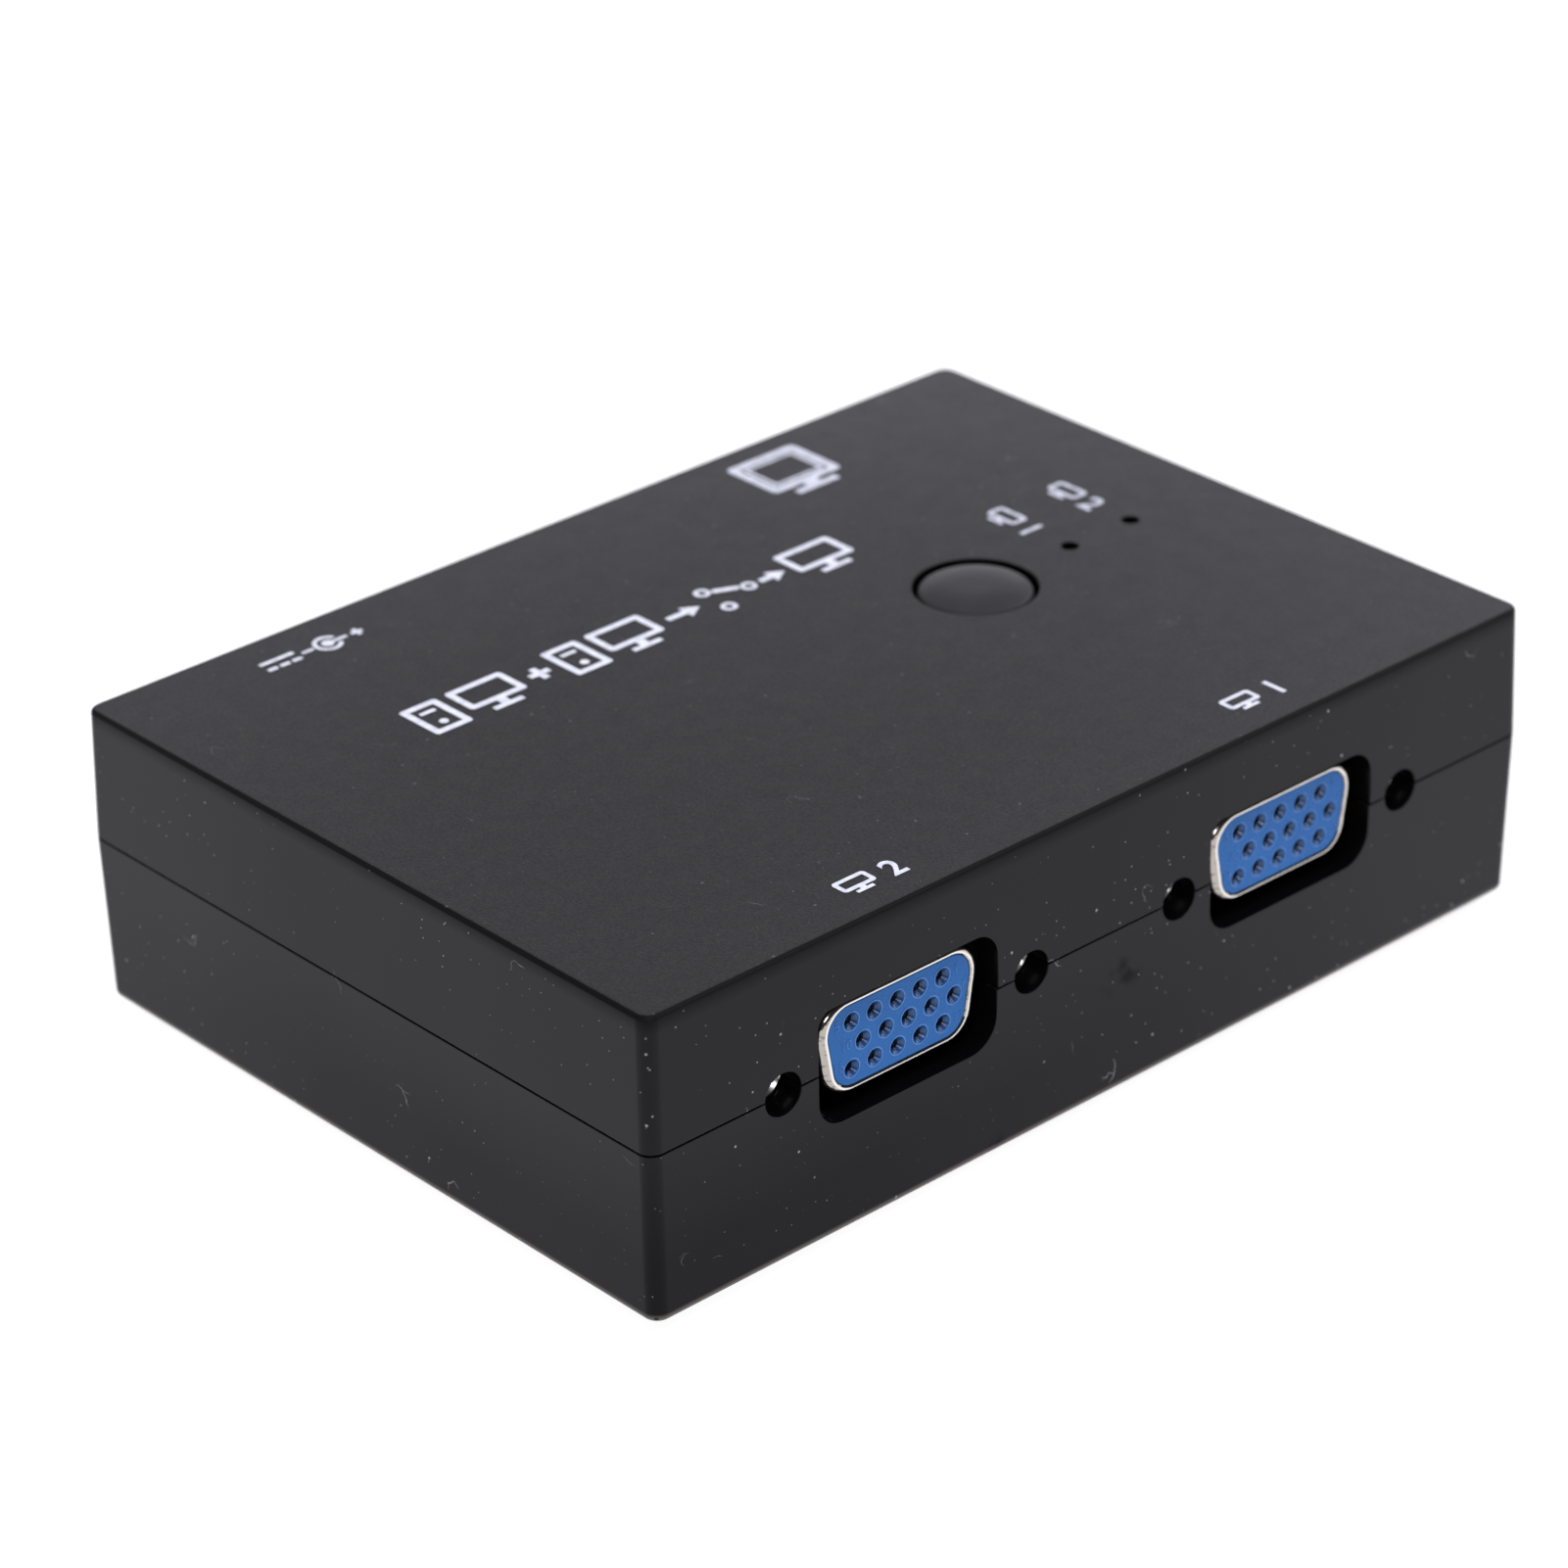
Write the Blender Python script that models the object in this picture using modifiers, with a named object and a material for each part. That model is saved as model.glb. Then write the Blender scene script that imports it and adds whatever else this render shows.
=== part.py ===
"""A two-computer, one-monitor video switch box, as separate parts in metres, +Z up.

The case is two moulded halves that meet at a parting plane. Inside, a board carries three 15-contact
video sockets (two on the front, one on the back), a round power jack, a push switch under the button,
two indicator lamps and the switching electronics. The origin is on the resting plane, under the middle
of the case. The front face, with the two inputs, looks along -Y.
"""

import math

import bmesh
import bpy
from mathutils import Matrix, Vector

MM = 0.001

# Case, outside. The two halves are widest at the parting plane and taper away from it.
CASE_LENGTH = 92.8 * MM
CASE_WIDTH = 66.4 * MM
CASE_HEIGHT = 25.6 * MM
CASE_BOTTOM_Z = 1.0 * MM
PARTING_Z = CASE_BOTTOM_Z + 14.36 * MM
CASE_TOP_Z = CASE_BOTTOM_Z + CASE_HEIGHT
PARTING_GAP = 0.25 * MM
TOP_TAPER = 0.22 * MM
BOTTOM_TAPER = 0.30 * MM
CORNER_RADIUS = 1.25 * MM
TOP_EDGE_RADIUS = 0.4 * MM
BOTTOM_EDGE_RADIUS = 0.5 * MM

# Case, inside
SIDE_WALL = 2.2 * MM
ROOF_THICKNESS = 2.0 * MM
FLOOR_THICKNESS = 2.0 * MM
CAVITY_CORNER_RADIUS = 0.8 * MM
TONGUE_THICKNESS = 0.9 * MM
TONGUE_HEIGHT = 1.3 * MM
TONGUE_CLEARANCE = 0.2 * MM
FLOOR_Z = CASE_BOTTOM_Z + FLOOR_THICKNESS
CEILING_Z = CASE_TOP_Z - ROOF_THICKNESS
HALF_LENGTH = CASE_LENGTH / 2
HALF_WIDTH = CASE_WIDTH / 2
INNER_HALF_LENGTH = HALF_LENGTH - SIDE_WALL
INNER_HALF_WIDTH = HALF_WIDTH - SIDE_WALL

# How far a cutter runs past the wall it cuts, and how far joined shapes run into each other
OVERSHOOT = 1.0 * MM
BITE = 0.4 * MM
# The gap between two parts that touch on the real object
SEAT_GAP = 0.1 * MM

# Case screws, driven up from below through the lower half into posts under the roof
CASE_SCREW_X = 40.4 * MM
CASE_SCREW_Y = 27.0 * MM
BOSS_RADIUS = 3.4 * MM
POST_RADIUS = 3.0 * MM
RIB_THICKNESS = 1.2 * MM
COUNTERBORE_RADIUS = 2.8 * MM
COUNTERBORE_DEPTH = 3.0 * MM
SCREW_CLEARANCE_RADIUS = 1.6 * MM
SCREW_PILOT_RADIUS = 1.4 * MM

# Rubber feet in shallow seats
FOOT_X = 32.0 * MM
FOOT_Y = 22.0 * MM
FOOT_RADIUS = 4.0 * MM
FOOT_SEAT_RADIUS = 4.2 * MM
FOOT_SEAT_DEPTH = 0.6 * MM

# Video sockets: standard high-density 15-contact D shells
SOCKET_FRONT_X = (-21.15 * MM, 19.6 * MM)
SOCKET_REAR_X = 21.6 * MM
SOCKET_Z = PARTING_Z + 0.5 * MM
JACK_SPACING = 25.0 * MM
D_WIDTH = 16.33 * MM
D_HEIGHT = 7.9 * MM
D_SIDE_ANGLE = math.radians(10)
D_CORNER_RADIUS = 2.6 * MM
SHELL_THICKNESS = 0.4 * MM
SHELL_EDGE_RADIUS = 0.55 * MM
LIP_WIDTH = 14.2 * MM
LIP_HEIGHT = 6.75 * MM
LIP_CORNER_RADIUS = 2.0 * MM
LIP_DEPTH = 0.5 * MM
SOCKET_RECESS = 1.0 * MM
SHELL_LENGTH = 5.9 * MM
FLANGE_LENGTH = 30.4 * MM
FLANGE_HEIGHT = 12.5 * MM
FLANGE_THICKNESS = 0.8 * MM
CONTACT_PITCH = 2.29 * MM
ROW_PITCH = 1.98 * MM
OUTER_ROW_OFFSET = -0.265 * MM
CONTACT_HOLE_RADIUS = 0.6 * MM
CONTACT_HOLE_DEPTH = 5.4 * MM
SOCKET_ABOVE_BOARD = 6.3 * MM
BLOCK_LENGTH = 20.0 * MM
BLOCK_DEPTH = 5.4 * MM
BLOCK_TOP = 4.6 * MM
BRACKET_TOP = 5.6 * MM
BRACKET_FOOT_NEAR = 10.6 * MM
BRACKET_FOOT_FAR = 14.9 * MM
BRACKET_FOOT_DEPTH = 7.0 * MM

# Openings for each video socket, in both halves: a rounded window and two round screw holes
WINDOW_LENGTH = 18.05 * MM
WINDOW_LOW = -4.77 * MM
WINDOW_HIGH = 5.1 * MM
WINDOW_RADII = (2.4 * MM, 2.6 * MM, 2.2 * MM, 1.4 * MM)  # bottom left, bottom right, top right, top left
SCREW_HOLE_RADIUS = 1.76 * MM

# Threaded jack nuts beside each socket
JACK_NUT_ACROSS_FLATS = 4.8 * MM
JACK_NUT_BORE_RADIUS = 1.42 * MM
JACK_NUT_BORE_DEPTH = 4.0 * MM
JACK_STUD_RADIUS = 1.3 * MM
JACK_STUD_LENGTH = 2.6 * MM
JACK_CLEARANCE_RADIUS = 1.5 * MM

# Board
BOARD_LENGTH = 86.0 * MM
BOARD_WIDTH = 50.4 * MM
BOARD_THICKNESS = 1.6 * MM
BOARD_TOP_Z = SOCKET_Z - SOCKET_ABOVE_BOARD
BOARD_BOTTOM_Z = BOARD_TOP_Z - BOARD_THICKNESS
BOARD_SCREW_X = 39.5 * MM
BOARD_SCREW_Y = 14.0 * MM
STANDOFF_RADIUS = 2.6 * MM
STANDOFF_PILOT_RADIUS = 1.1 * MM
BOARD_SCREW_HOLE_RADIUS = 1.35 * MM
BOARD_NOTCH_RADIUS = 3.9 * MM

# Button and the push switch under it
BUTTON_X = 17.6 * MM
BUTTON_Y = -0.2 * MM
BUTTON_HOLE_RADIUS = 5.13 * MM
BUTTON_RADIUS = 4.71 * MM
BUTTON_RIM_DEPTH = 0.12 * MM
BUTTON_DOME_HEIGHT = 0.25 * MM
BUTTON_GUIDE_RADIUS = 6.5 * MM
BUTTON_GUIDE_LENGTH = 3.4 * MM
BUTTON_FLANGE_RADIUS = 6.0 * MM
SWITCH_SIDE = 6.0 * MM
SWITCH_HEIGHT = 3.2 * MM
SWITCH_WELL_RADIUS = 2.35 * MM
SWITCH_WELL_FLOOR = 0.9 * MM
SWITCH_COVER_THICKNESS = 0.3 * MM
PLUNGER_RADIUS = 1.75 * MM
PLUNGER_FLANGE_RADIUS = 2.15 * MM
PLUNGER_TOP_Z = BOARD_TOP_Z + 4.94 * MM
DOME_RADIUS = 2.1 * MM
DOME_THICKNESS = 0.12 * MM
BUTTON_TRAVEL = 0.5 * MM
DOME_RISE = BUTTON_TRAVEL + 0.15 * MM
SWITCH_LOW_Z = BOARD_TOP_Z + SEAT_GAP
SWITCH_COVER_Z = SWITCH_LOW_Z + SWITCH_HEIGHT + SEAT_GAP
DOME_RIM_Z = SWITCH_LOW_Z + SWITCH_WELL_FLOOR + SEAT_GAP
DOME_TOP_Z = DOME_RIM_Z + DOME_THICKNESS + DOME_RISE

# Indicator lamps
LAMP_X = (28.3 * MM, 35.3 * MM)
LAMP_Y = -0.2 * MM
LAMP_HOLE_RADIUS = 0.76 * MM
LAMP_RADIUS = 1.5 * MM
LAMP_FLANGE_RADIUS = 1.9 * MM
LAMP_FLANGE_THICKNESS = 1.0 * MM
LAMP_TOP_Z = CEILING_Z - 2 * SEAT_GAP
LAMP_LOW_Z = LAMP_TOP_Z - 5.3 * MM
LAMP_COLLAR_RADIUS = 2.5 * MM
LAMP_COLLAR_BORE = 1.75 * MM
LAMP_COLLAR_LENGTH = 2.6 * MM
LEAD_SPACING = 2.54 * MM
LEAD_SIDE = 0.5 * MM
LEAD_HOLE_RADIUS = 0.45 * MM
LEAD_TAIL = 1.2 * MM

# Power jack
POWER_X = -27.6 * MM
POWER_ABOVE_BOARD = 6.5 * MM
POWER_Z = BOARD_TOP_Z + POWER_ABOVE_BOARD
POWER_HOLE_RADIUS = 3.95 * MM
POWER_NOSE_RADIUS = 3.7 * MM
POWER_BORE_RADIUS = 3.15 * MM
POWER_BORE_DEPTH = 10.5 * MM
POWER_NOSE_RECESS = 0.3 * MM
POWER_BODY = (9.0 * MM, 14.0 * MM, 11.0 * MM)
POWER_PIN_RADIUS = 1.0 * MM
POWER_PIN_RECESS = 2.1 * MM

COLOURS = {
    # name: (base colour, roughness, metallic)
    "case_black": ((0.018, 0.018, 0.020), 0.50, 0.0),
    "button_black": ((0.020, 0.019, 0.020), 0.42, 0.0),
    "connector_blue": ((0.020, 0.100, 0.340), 0.38, 0.0),
    "nickel": ((0.72, 0.69, 0.64), 0.28, 1.0),
    "steel": ((0.50, 0.50, 0.52), 0.35, 1.0),
    "spring_metal": ((0.78, 0.60, 0.30), 0.30, 1.0),
    "board_green": ((0.010, 0.110, 0.045), 0.45, 0.0),
    "chip_black": ((0.015, 0.015, 0.016), 0.60, 0.0),
    "lamp_clear": ((0.75, 0.78, 0.80), 0.10, 0.0),
    "can_sleeve": ((0.020, 0.030, 0.090), 0.35, 0.0),
    "rubber": ((0.022, 0.022, 0.023), 0.85, 0.0),
}


# ---------------------------------------------------------------- building blocks


def clear_scene():
    for item in list(bpy.data.objects):
        bpy.data.objects.remove(item)


def new_collection(name):
    collection = bpy.data.collections.new(name)
    bpy.context.scene.collection.children.link(collection)
    return collection


def material(name):
    found = bpy.data.materials.get(name)
    if found:
        return found
    colour, roughness, metallic = COLOURS[name]
    made = bpy.data.materials.new(name)
    made.use_nodes = True
    surface = made.node_tree.nodes["Principled BSDF"]
    surface.inputs["Base Color"].default_value = (*colour, 1.0)
    surface.inputs["Roughness"].default_value = roughness
    surface.inputs["Metallic"].default_value = metallic
    return made


def mesh_from(shape, name="shape"):
    """A mesh from a bmesh, with its faces turned outwards."""
    bmesh.ops.recalc_face_normals(shape, faces=shape.faces)
    mesh = bpy.data.meshes.new(name)
    shape.to_mesh(mesh)
    shape.free()
    return mesh


def box(low, high):
    """A box between two opposite corners."""
    low, high = Vector(low), Vector(high)
    shape = bmesh.new()
    bmesh.ops.create_cube(shape, size=1.0)
    bmesh.ops.scale(shape, vec=high - low, verts=shape.verts)
    bmesh.ops.translate(shape, vec=(low + high) / 2, verts=shape.verts)
    return mesh_from(shape)


def cylinder(start, end, radius, segments=24):
    """A round bar between two points."""
    start, end = Vector(start), Vector(end)
    shape = bmesh.new()
    turn = (end - start).to_track_quat("Z", "Y").to_matrix().to_4x4()
    bmesh.ops.create_cone(
        shape,
        cap_ends=True,
        segments=segments,
        radius1=radius,
        radius2=radius,
        depth=(end - start).length,
        matrix=Matrix.Translation((start + end) / 2) @ turn,
    )
    return mesh_from(shape)


def rounded_block(low_half, high_half, low_z, high_z, corner_radius, edge=None, edge_radius=0.0):
    """A four-sided block about the Z axis, tapering from low_half to high_half, with round upright corners.

    edge is "top" or "bottom" where that end's outline is rounded over too.
    """
    shape = bmesh.new()
    bmesh.ops.create_cube(shape, size=2.0)
    for vertex in shape.verts:
        half, z = (high_half, high_z) if vertex.co.z > 0 else (low_half, low_z)
        vertex.co = (vertex.co.x * half[0], vertex.co.y * half[1], z)
    uprights = [e for e in shape.edges if abs(e.verts[0].co.z - e.verts[1].co.z) > (high_z - low_z) / 2]
    bmesh.ops.bevel(shape, geom=uprights, offset=corner_radius, segments=5, profile=0.5, affect="EDGES")
    if edge:
        end_z = high_z if edge == "top" else low_z
        rim = [e for e in shape.edges if all(abs(v.co.z - end_z) < 1e-7 for v in e.verts)]
        bmesh.ops.bevel(shape, geom=rim, offset=edge_radius, segments=3, profile=0.5, affect="EDGES")
    return mesh_from(shape)


def evaluated_mesh(item):
    graph = bpy.context.evaluated_depsgraph_get()
    return bpy.data.meshes.new_from_object(item.evaluated_get(graph))


def prism(outline, low_y, high_y):
    """A flat outline of (x, z) points, filled and extruded along Y between two depths."""
    curve = bpy.data.curves.new("outline", "CURVE")
    curve.dimensions = "2D"
    curve.fill_mode = "BOTH"
    curve.extrude = (high_y - low_y) / 2
    spline = curve.splines.new("POLY")
    spline.points.add(len(outline) - 1)
    for point, (x, z) in zip(spline.points, outline):
        point.co = (x, z, 0, 1)
    spline.use_cyclic_u = True
    holder = bpy.data.objects.new("outline", curve)
    bpy.context.scene.collection.objects.link(holder)
    filled = evaluated_mesh(holder)
    bpy.data.objects.remove(holder)
    shape = bmesh.new()
    shape.from_mesh(filled)
    bmesh.ops.remove_doubles(shape, verts=shape.verts, dist=1e-7)
    upright = Matrix.Translation((0, (low_y + high_y) / 2, 0)) @ Matrix.Rotation(math.pi / 2, 4, "X")
    bmesh.ops.transform(shape, matrix=upright, verts=shape.verts)
    return mesh_from(shape)


def turned(profile, centre=(0, 0, 0), steps=24):
    """A profile of (radius, z) points spun round the Z axis: it runs from the top down its outer side."""
    mesh = bpy.data.meshes.new("profile")
    mesh.from_pydata([(r, 0, z) for r, z in profile], [(i, i + 1) for i in range(len(profile) - 1)], [])
    holder = bpy.data.objects.new("profile", mesh)
    bpy.context.scene.collection.objects.link(holder)
    screw = holder.modifiers.new("Screw", "SCREW")
    screw.steps = steps
    screw.render_steps = steps
    screw.use_merge_vertices = True
    screw.merge_threshold = 1e-6
    solid = evaluated_mesh(holder)
    bpy.data.objects.remove(holder)
    solid.transform(Matrix.Translation(centre))
    return solid


def gathered(meshes):
    """Several meshes as one, for use as a single cutter or addition. They stand clear of each other."""
    shape = bmesh.new()
    for mesh in meshes:
        shape.from_mesh(mesh)
    made = bpy.data.meshes.new("gathered")
    shape.to_mesh(made)
    shape.free()
    return made


def combined(mesh, operation, others):
    """The mesh with the others united to it or cut from it."""
    for other in others:
        target = bpy.data.objects.new("target", mesh)
        tool = bpy.data.objects.new("tool", other)
        for item in (target, tool):
            bpy.context.scene.collection.objects.link(item)
        modifier = target.modifiers.new("Boolean", "BOOLEAN")
        modifier.operation = operation
        modifier.solver = "EXACT"
        modifier.object = tool
        mesh = evaluated_mesh(target)
        for item in (target, tool):
            bpy.data.objects.remove(item)
    return mesh


def united(mesh, *others):
    return combined(mesh, "UNION", others)


def cut(mesh, *others):
    return combined(mesh, "DIFFERENCE", others)


def part(name, mesh, finish, collection, parent=None, location=(0, 0, 0)):
    """One named object in the model, with its material and smooth rounds."""
    item = bpy.data.objects.new(name, mesh)
    if not mesh.materials:
        mesh.materials.append(material(finish))
    mesh.shade_smooth()
    mesh.set_sharp_from_angle(angle=math.radians(32))
    item.parent = parent
    item.location = location
    collection.objects.link(item)
    return item


def locator(name, location, collection, turn_z=0.0):
    """An empty that holds a group of parts in place."""
    item = bpy.data.objects.new(name, None)
    item.empty_display_size = 5 * MM
    item.location = location
    item.rotation_euler = (0, 0, turn_z)
    collection.objects.link(item)
    return item


def corners(x, y):
    """The four points (+-x, +-y), in turn round the case."""
    return [(-x, -y), (x, -y), (x, y), (-x, y)]


def arc(centre, radius, start_degrees, end_degrees, segments):
    """Points on a circular arc, ends included."""
    span = end_degrees - start_degrees
    angles = [math.radians(start_degrees + span * i / segments) for i in range(segments + 1)]
    return [(centre[0] + radius * math.cos(a), centre[1] + radius * math.sin(a)) for a in angles]


def d_outline(width, height, radius, segments=5):
    """The D-shaped outline of a video socket: wide side up, sides leaning in by D_SIDE_ANGLE."""
    sine, cosine = math.sin(D_SIDE_ANGLE), math.cos(D_SIDE_ANGLE)
    lean = math.degrees(D_SIDE_ANGLE)
    top_x = width / 2 - radius
    top_corner_x = top_x + radius * (1 + sine) / cosine
    bottom_corner_x = top_corner_x - height * sine / cosine
    bottom_x = bottom_corner_x - radius * (1 - sine) / cosine
    top_z, bottom_z = height / 2 - radius, radius - height / 2
    right = arc((bottom_x, bottom_z), radius, -90, -lean, segments)
    right += arc((top_x, top_z), radius, -lean, 90, segments)
    left = [(-x, z) for x, z in reversed(right)]
    return right + left


def window_outline():
    """The opening in the case round a socket, about the middle of its two screw holes."""
    half = WINDOW_LENGTH / 2
    low_left, low_right, high_right, high_left = WINDOW_RADII
    outline = arc((-half + low_left, WINDOW_LOW + low_left), low_left, 180, 270, 5)
    outline += arc((half - low_right, WINDOW_LOW + low_right), low_right, 270, 360, 5)
    outline += arc((half - high_right, WINDOW_HIGH - high_right), high_right, 0, 90, 5)
    outline += arc((-half + high_left, WINDOW_HIGH - high_left), high_left, 90, 180, 5)
    return outline


# ---------------------------------------------------------------- case


def socket_openings():
    """Cutters for the three sockets: a window and two screw holes through the wall each."""
    front, back = -HALF_WIDTH, HALF_WIDTH
    places = [(x, front, 1) for x in SOCKET_FRONT_X] + [(SOCKET_REAR_X, back, -1)]
    cutters = []
    for x, face_y, inwards in places:
        window = prism(window_outline(), -OVERSHOOT, SIDE_WALL + OVERSHOOT)
        turn = Matrix.Identity(4) if inwards > 0 else Matrix.Rotation(math.pi, 4, "Z")
        window.transform(Matrix.Translation((x, face_y, PARTING_Z)) @ turn)
        cutters.append(window)
        for side in (-1, 1):
            hole_x = x + side * JACK_SPACING / 2
            start = (hole_x, face_y - inwards * OVERSHOOT, PARTING_Z)
            end = (hole_x, face_y + inwards * (SIDE_WALL + OVERSHOOT), PARTING_Z)
            cutters.append(cylinder(start, end, SCREW_HOLE_RADIUS, 20))
    return gathered(cutters)


def power_opening():
    start = (POWER_X, HALF_WIDTH + OVERSHOOT, POWER_Z)
    end = (POWER_X, HALF_WIDTH - SIDE_WALL - OVERSHOOT, POWER_Z)
    return cylinder(start, end, POWER_HOLE_RADIUS, 28)


def upper_shell():
    rim_z = PARTING_Z + PARTING_GAP / 2
    wide = (HALF_LENGTH, HALF_WIDTH)
    top = (HALF_LENGTH - TOP_TAPER, HALF_WIDTH - TOP_TAPER)
    inner = (INNER_HALF_LENGTH, INNER_HALF_WIDTH)
    body = rounded_block(wide, top, rim_z, CASE_TOP_Z, CORNER_RADIUS, "top", TOP_EDGE_RADIUS)
    cavity = rounded_block(inner, inner, rim_z - OVERSHOOT, CEILING_Z, CAVITY_CORNER_RADIUS)
    step = TONGUE_THICKNESS + TONGUE_CLEARANCE
    rebate_half = (INNER_HALF_LENGTH + step, INNER_HALF_WIDTH + step)
    rebate_top = PARTING_Z + TONGUE_HEIGHT + TONGUE_CLEARANCE
    rebate = rounded_block(rebate_half, rebate_half, rim_z - OVERSHOOT, rebate_top, CORNER_RADIUS / 2)
    body = cut(body, cavity, rebate)

    into_roof = CEILING_Z + BITE
    additions = []
    ribs = []
    for x, y in corners(CASE_SCREW_X, CASE_SCREW_Y):
        additions.append(cylinder((x, y, PARTING_Z + SEAT_GAP), (x, y, into_roof), POST_RADIUS, 20))
        wall_x = math.copysign(INNER_HALF_LENGTH + BITE, x)
        rib_low = (min(x, wall_x), y - RIB_THICKNESS / 2, rebate_top + BITE)
        rib_high = (max(x, wall_x), y + RIB_THICKNESS / 2, into_roof)
        ribs.append(box(rib_low, rib_high))
    guide_low_z = CEILING_Z - BUTTON_GUIDE_LENGTH
    guide_low = (BUTTON_X, BUTTON_Y, guide_low_z)
    additions.append(cylinder(guide_low, (BUTTON_X, BUTTON_Y, into_roof), BUTTON_GUIDE_RADIUS, 32))
    for x in LAMP_X:
        collar_low = (x, LAMP_Y, CEILING_Z - LAMP_COLLAR_LENGTH)
        additions.append(cylinder(collar_low, (x, LAMP_Y, into_roof), LAMP_COLLAR_RADIUS, 16))
    body = united(body, gathered(additions), gathered(ribs))

    above_roof = CASE_TOP_Z + OVERSHOOT
    bores = []
    pilot_low_z, pilot_high_z = PARTING_Z - OVERSHOOT, CEILING_Z - OVERSHOOT
    for x, y in corners(CASE_SCREW_X, CASE_SCREW_Y):
        bores.append(cylinder((x, y, pilot_low_z), (x, y, pilot_high_z), SCREW_PILOT_RADIUS, 16))
    button_low = (BUTTON_X, BUTTON_Y, guide_low_z - OVERSHOOT)
    bores.append(cylinder(button_low, (BUTTON_X, BUTTON_Y, above_roof), BUTTON_HOLE_RADIUS, 48))
    for x in LAMP_X:
        collar_low_z = CEILING_Z - LAMP_COLLAR_LENGTH - OVERSHOOT
        bores.append(cylinder((x, LAMP_Y, collar_low_z), (x, LAMP_Y, CEILING_Z), LAMP_COLLAR_BORE, 16))
    lamp_holes = []
    for x in LAMP_X:
        hole_low = (x, LAMP_Y, CEILING_Z - OVERSHOOT)
        lamp_holes.append(cylinder(hole_low, (x, LAMP_Y, above_roof), LAMP_HOLE_RADIUS, 16))
    return cut(body, gathered(bores), gathered(lamp_holes), socket_openings(), power_opening())


def lower_shell():
    rim_z = PARTING_Z - PARTING_GAP / 2
    wide = (HALF_LENGTH, HALF_WIDTH)
    bottom = (HALF_LENGTH - BOTTOM_TAPER, HALF_WIDTH - BOTTOM_TAPER)
    inner = (INNER_HALF_LENGTH, INNER_HALF_WIDTH)
    tongue_half = (INNER_HALF_LENGTH + TONGUE_THICKNESS, INNER_HALF_WIDTH + TONGUE_THICKNESS)
    tongue_top = PARTING_Z + TONGUE_HEIGHT
    body = rounded_block(bottom, wide, CASE_BOTTOM_Z, rim_z, CORNER_RADIUS, "bottom", BOTTOM_EDGE_RADIUS)
    tongue = rounded_block(tongue_half, tongue_half, FLOOR_Z, tongue_top, CORNER_RADIUS / 2)
    cavity = rounded_block(inner, inner, FLOOR_Z, tongue_top + OVERSHOOT, CAVITY_CORNER_RADIUS)
    body = cut(united(body, tongue), cavity)

    into_floor = FLOOR_Z - BITE
    additions = []
    for x, y in corners(CASE_SCREW_X, CASE_SCREW_Y):
        additions.append(cylinder((x, y, into_floor), (x, y, PARTING_Z - SEAT_GAP), BOSS_RADIUS, 24))
    standoff_top = BOARD_BOTTOM_Z - SEAT_GAP
    for x, y in corners(BOARD_SCREW_X, BOARD_SCREW_Y):
        additions.append(cylinder((x, y, into_floor), (x, y, standoff_top), STANDOFF_RADIUS, 16))
    body = united(body, gathered(additions))

    below = CASE_BOTTOM_Z - OVERSHOOT
    head_seat_z = CASE_BOTTOM_Z + COUNTERBORE_DEPTH
    bores, heads = [], []
    for x, y in corners(CASE_SCREW_X, CASE_SCREW_Y):
        bores.append(cylinder((x, y, below), (x, y, PARTING_Z + OVERSHOOT), SCREW_CLEARANCE_RADIUS, 16))
        heads.append(cylinder((x, y, below), (x, y, head_seat_z), COUNTERBORE_RADIUS, 20))
    for x, y in corners(BOARD_SCREW_X, BOARD_SCREW_Y):
        bores.append(cylinder((x, y, FLOOR_Z), (x, y, BOARD_BOTTOM_Z), STANDOFF_PILOT_RADIUS, 12))
    for x, y in corners(FOOT_X, FOOT_Y):
        heads.append(cylinder((x, y, below), (x, y, CASE_BOTTOM_Z + FOOT_SEAT_DEPTH), FOOT_SEAT_RADIUS, 24))
    return cut(body, gathered(bores), gathered(heads), socket_openings(), power_opening())


def foot():
    """A rubber foot, in its own frame: it stands on z = 0."""
    top = CASE_BOTTOM_Z + FOOT_SEAT_DEPTH - SEAT_GAP
    chamfer = 0.35 * MM
    profile = [
        (0, top),
        (FOOT_RADIUS, top),
        (FOOT_RADIUS, chamfer),
        (FOOT_RADIUS - chamfer, 0),
        (0, 0),
    ]
    return turned(profile, steps=24)


def pan_screw(head_radius, head_height, shank_radius, shank_length):
    """A cross-head screw, in its own frame: its head stands on z = 0 and its shank points down."""
    tip = shank_radius * 1.2
    profile = [
        (0, head_height),
        (head_radius * 0.62, head_height),
        (head_radius * 0.90, head_height * 0.72),
        (head_radius, head_height * 0.30),
        (head_radius, 0),
        (shank_radius, 0),
        (shank_radius, tip - shank_length),
        (shank_radius * 0.35, -shank_length),
        (0, -shank_length),
    ]
    screw = turned(profile, steps=16)
    reach, half = head_radius * 0.55, head_radius * 0.11
    low_z, high_z = head_height * 0.35, head_height + OVERSHOOT
    cross = united(
        box((-reach, -half, low_z), (reach, half, high_z)),
        box((-half, -reach, low_z), (half, reach, high_z)),
    )
    return cut(screw, cross)


# ---------------------------------------------------------------- video sockets
# Each socket is built in its own frame: x across, y into the case from its outer face, z up, with the
# middle of the D shell at x = z = 0.

FLANGE_Y = SOCKET_RECESS + SHELL_LENGTH
FLANGE_BACK_Y = FLANGE_Y + FLANGE_THICKNESS
BRACKET_Y = FLANGE_BACK_Y + SEAT_GAP
BRACKET_BACK_Y = BRACKET_Y + FLANGE_THICKNESS


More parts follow.
